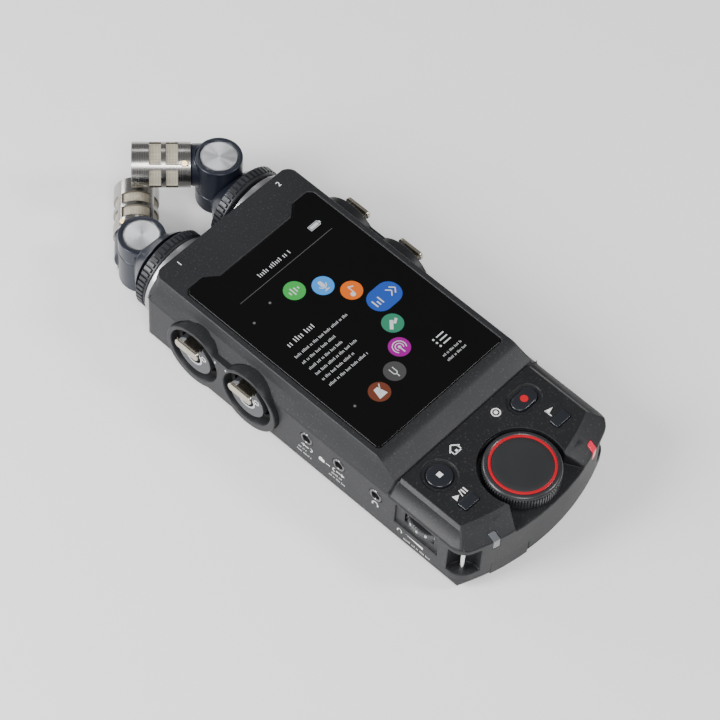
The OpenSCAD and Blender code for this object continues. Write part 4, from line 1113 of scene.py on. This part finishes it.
def gauze_tree():
    """Woven wire on a drum: upright wires round it and hoops up it."""
    tree, given, out = node_tree("woven_gauze", [
        ("Start", "Geometry"), ("Radius", "Float"), ("Height", "Float"), ("Wires Round", "Int"),
        ("Hoops", "Int"), ("Wire Radius", "Float"), ("Finish", "Material")])
    radius, height = given.outputs["Radius"], given.outputs["Height"]
    wire = given.outputs["Wire Radius"]
    ring = node_in(tree, "GeometryNodeMeshCircle",
                   {"Vertices": given.outputs["Wires Round"], "Radius": radius})
    upright = node_in(tree, "GeometryNodeMeshCylinder",
                      {"Vertices": 4, "Radius": wire, "Depth": height})
    lift = node_in(tree, "ShaderNodeCombineXYZ", {"Z": scaled(tree, height, 0.5)})
    raised = node_in(tree, "GeometryNodeTransform",
                     {"Geometry": upright.outputs["Mesh"], "Translation": lift.outputs[0]})
    round_spread = node_in(tree, "GeometryNodeInstanceOnPoints",
                           {"Points": ring.outputs[0], "Instance": raised.outputs[0]})
    hoop = node_in(tree, "GeometryNodeCurvePrimitiveCircle", {"Resolution": 96, "Radius": radius})
    section = node_in(tree, "GeometryNodeCurvePrimitiveCircle", {"Resolution": 4, "Radius": wire})
    solid = node_in(tree, "GeometryNodeCurveToMesh",
                    {"Curve": hoop.outputs["Curve"], "Profile Curve": section.outputs["Curve"]})
    top = node_in(tree, "ShaderNodeCombineXYZ", {"Z": height})
    column = node_in(tree, "GeometryNodeMeshLine",
                     {"Count": given.outputs["Hoops"], "Offset": top.outputs[0]}, mode="END_POINTS")
    column_spread = node_in(tree, "GeometryNodeInstanceOnPoints",
                            {"Points": column.outputs[0], "Instance": solid.outputs[0]})
    joined = node_in(tree, "GeometryNodeJoinGeometry")
    tree.links.new(round_spread.outputs[0], joined.inputs[0])
    tree.links.new(column_spread.outputs[0], joined.inputs[0])
    return end_tree(tree, given, out, joined.outputs[0])


woven_gauze = gauze_tree()
for side, x in (("left", -1), ("right", 1)):
    arm_body = "mic_arm_" + side
    along = (-x * 0.7071, 0.7071, 0)
    cage_finish = metal("cage_steel_" + side, (0.4, 0.39, 0.375), 0.24, along, 5200, 0.08, 0.15)
    capsule_place = (mic_places[side] @ Matrix.Translation((1.7, pivot_y + 1.7, 8.75))
                     @ Matrix.Rotation(math.radians(45), 4, "Z")
                     @ Matrix.Rotation(-math.pi / 2, 4, "X"))
    cage = rounded("capsule_cage_" + side, "cage_" + side, cage_finish, 0.16, steps=2, angle=35)
    fitted(cage, arm_body, "cage_metal", "capsule_cage_" + side)
    dressed(backing_finish, "capsule_mesh_" + side)
    drum = grown(woven_gauze, "gauze_" + side, bpy.data.meshes.new("start"),
                 capsule_place @ Matrix.Translation((0, 0, gauze_low)), gauze_finish,
                 {"Radius": (gauze_r + 0.08) * MM, "Height": (gauze_high - gauze_low) * MM,
                  "Wires Round": 84, "Hoops": 30, "Wire Radius": wire_r * MM})
    fitted(drum, arm_body, "capsule_gauze")
    front_dome = turned("front_gauze_" + side, [
        (0, 30.55), (3.0, 30.5), (5.6, 30.3), (7.2, 29.95), (7.45, 29.6), (0, 29.5)],
        capsule_place, backing_finish, 64)
    fitted(front_dome, arm_body, "capsule_gauze")
    for angle in (55, 235):
        spot = (capsule_place @ Matrix.Rotation(math.radians(angle), 4, "Z")
                @ Matrix.Translation((cage_r + 0.1, 0, 12.4))
                @ Matrix.Rotation(math.pi / 2, 4, "Y"))
        head = grown(screw_heads, "cage_screw_head_%s_%d" % (side, angle), point_mesh([(0, 0, 0)]),
                     spot, brass_finish, {"Head Radius": 1.05 * MM, "Head Height": 0.45 * MM,
                                          "Cross Width": 0.3 * MM})
        fitted(head, arm_body, "brass_parts", *(["cage_screw_" + side] if angle == 55 else []))

# ---------------------------------------------------------------- studio
# A plain pale table and five soft lamps: one on the left, a small one at the lower right, a
# fill beside the camera, one above the spun discs and one behind. None is part of the recorder.
table = bpy.data.meshes.new("table")
table.from_pydata([(-4, -4, 0), (4, -4, 0), (4, 4, 0), (-4, 4, 0)], [], [(0, 1, 2, 3)])
table_finish = bpy.data.materials.new("pale_table")
table_finish.use_nodes = True
set_shader(table_finish.node_tree.nodes["Principled BSDF"],
           {"Base Color": (0.86, 0.86, 0.86, 1), "Roughness": 0.9, "Specular IOR Level": 0.1,
            "Emission Color": (1, 1, 1, 1), "Emission Strength": 0.2})
table_piece = placed(table, "table", table_finish)
sky = bpy.data.worlds.new("studio")
bpy.context.scene.world = sky
sky.use_nodes = True
sky.node_tree.nodes["Background"].inputs["Color"].default_value = (1, 1, 1, 1)
sky.node_tree.nodes["Background"].inputs["Strength"].default_value = 0.24


def lamp(name, place, aim, size, power):
    """A soft rectangular lamp that points at the recorder; places in metres."""
    light = bpy.data.lights.new(name, "AREA")
    light.shape = "RECTANGLE"
    light.size, light.size_y = size
    light.energy = power
    obj = bpy.data.objects.new(name, light)
    bpy.context.scene.collection.objects.link(obj)
    way = Vector(aim) - Vector(place)
    obj.matrix_world = Matrix.Translation(place) @ way.to_track_quat("-Z", "Y").to_matrix().to_4x4()
    return obj


lamp("left_lamp", (-0.75, 0.30, 0.50), (0, 0, 0.02), (0.35, 0.5), 12)
lamp("front_lamp", (0.45, -0.62, 0.66), (0, -0.06, 0.02), (0.2, 0.2), 4)
lamp("fill_lamp", (-0.62, -0.75, 1.25), (0, 0, 0.02), (0.5, 0.5), 14)
lamp("disc_lamp", (0.15, 0.25, 0.30), (0, 0.09, 0.034), (0.05, 0.05), 0.04)
lamp("back_lamp", (-0.35, 0.95, 0.32), (0, 0.08, 0.02), (0.5, 0.25), 5)
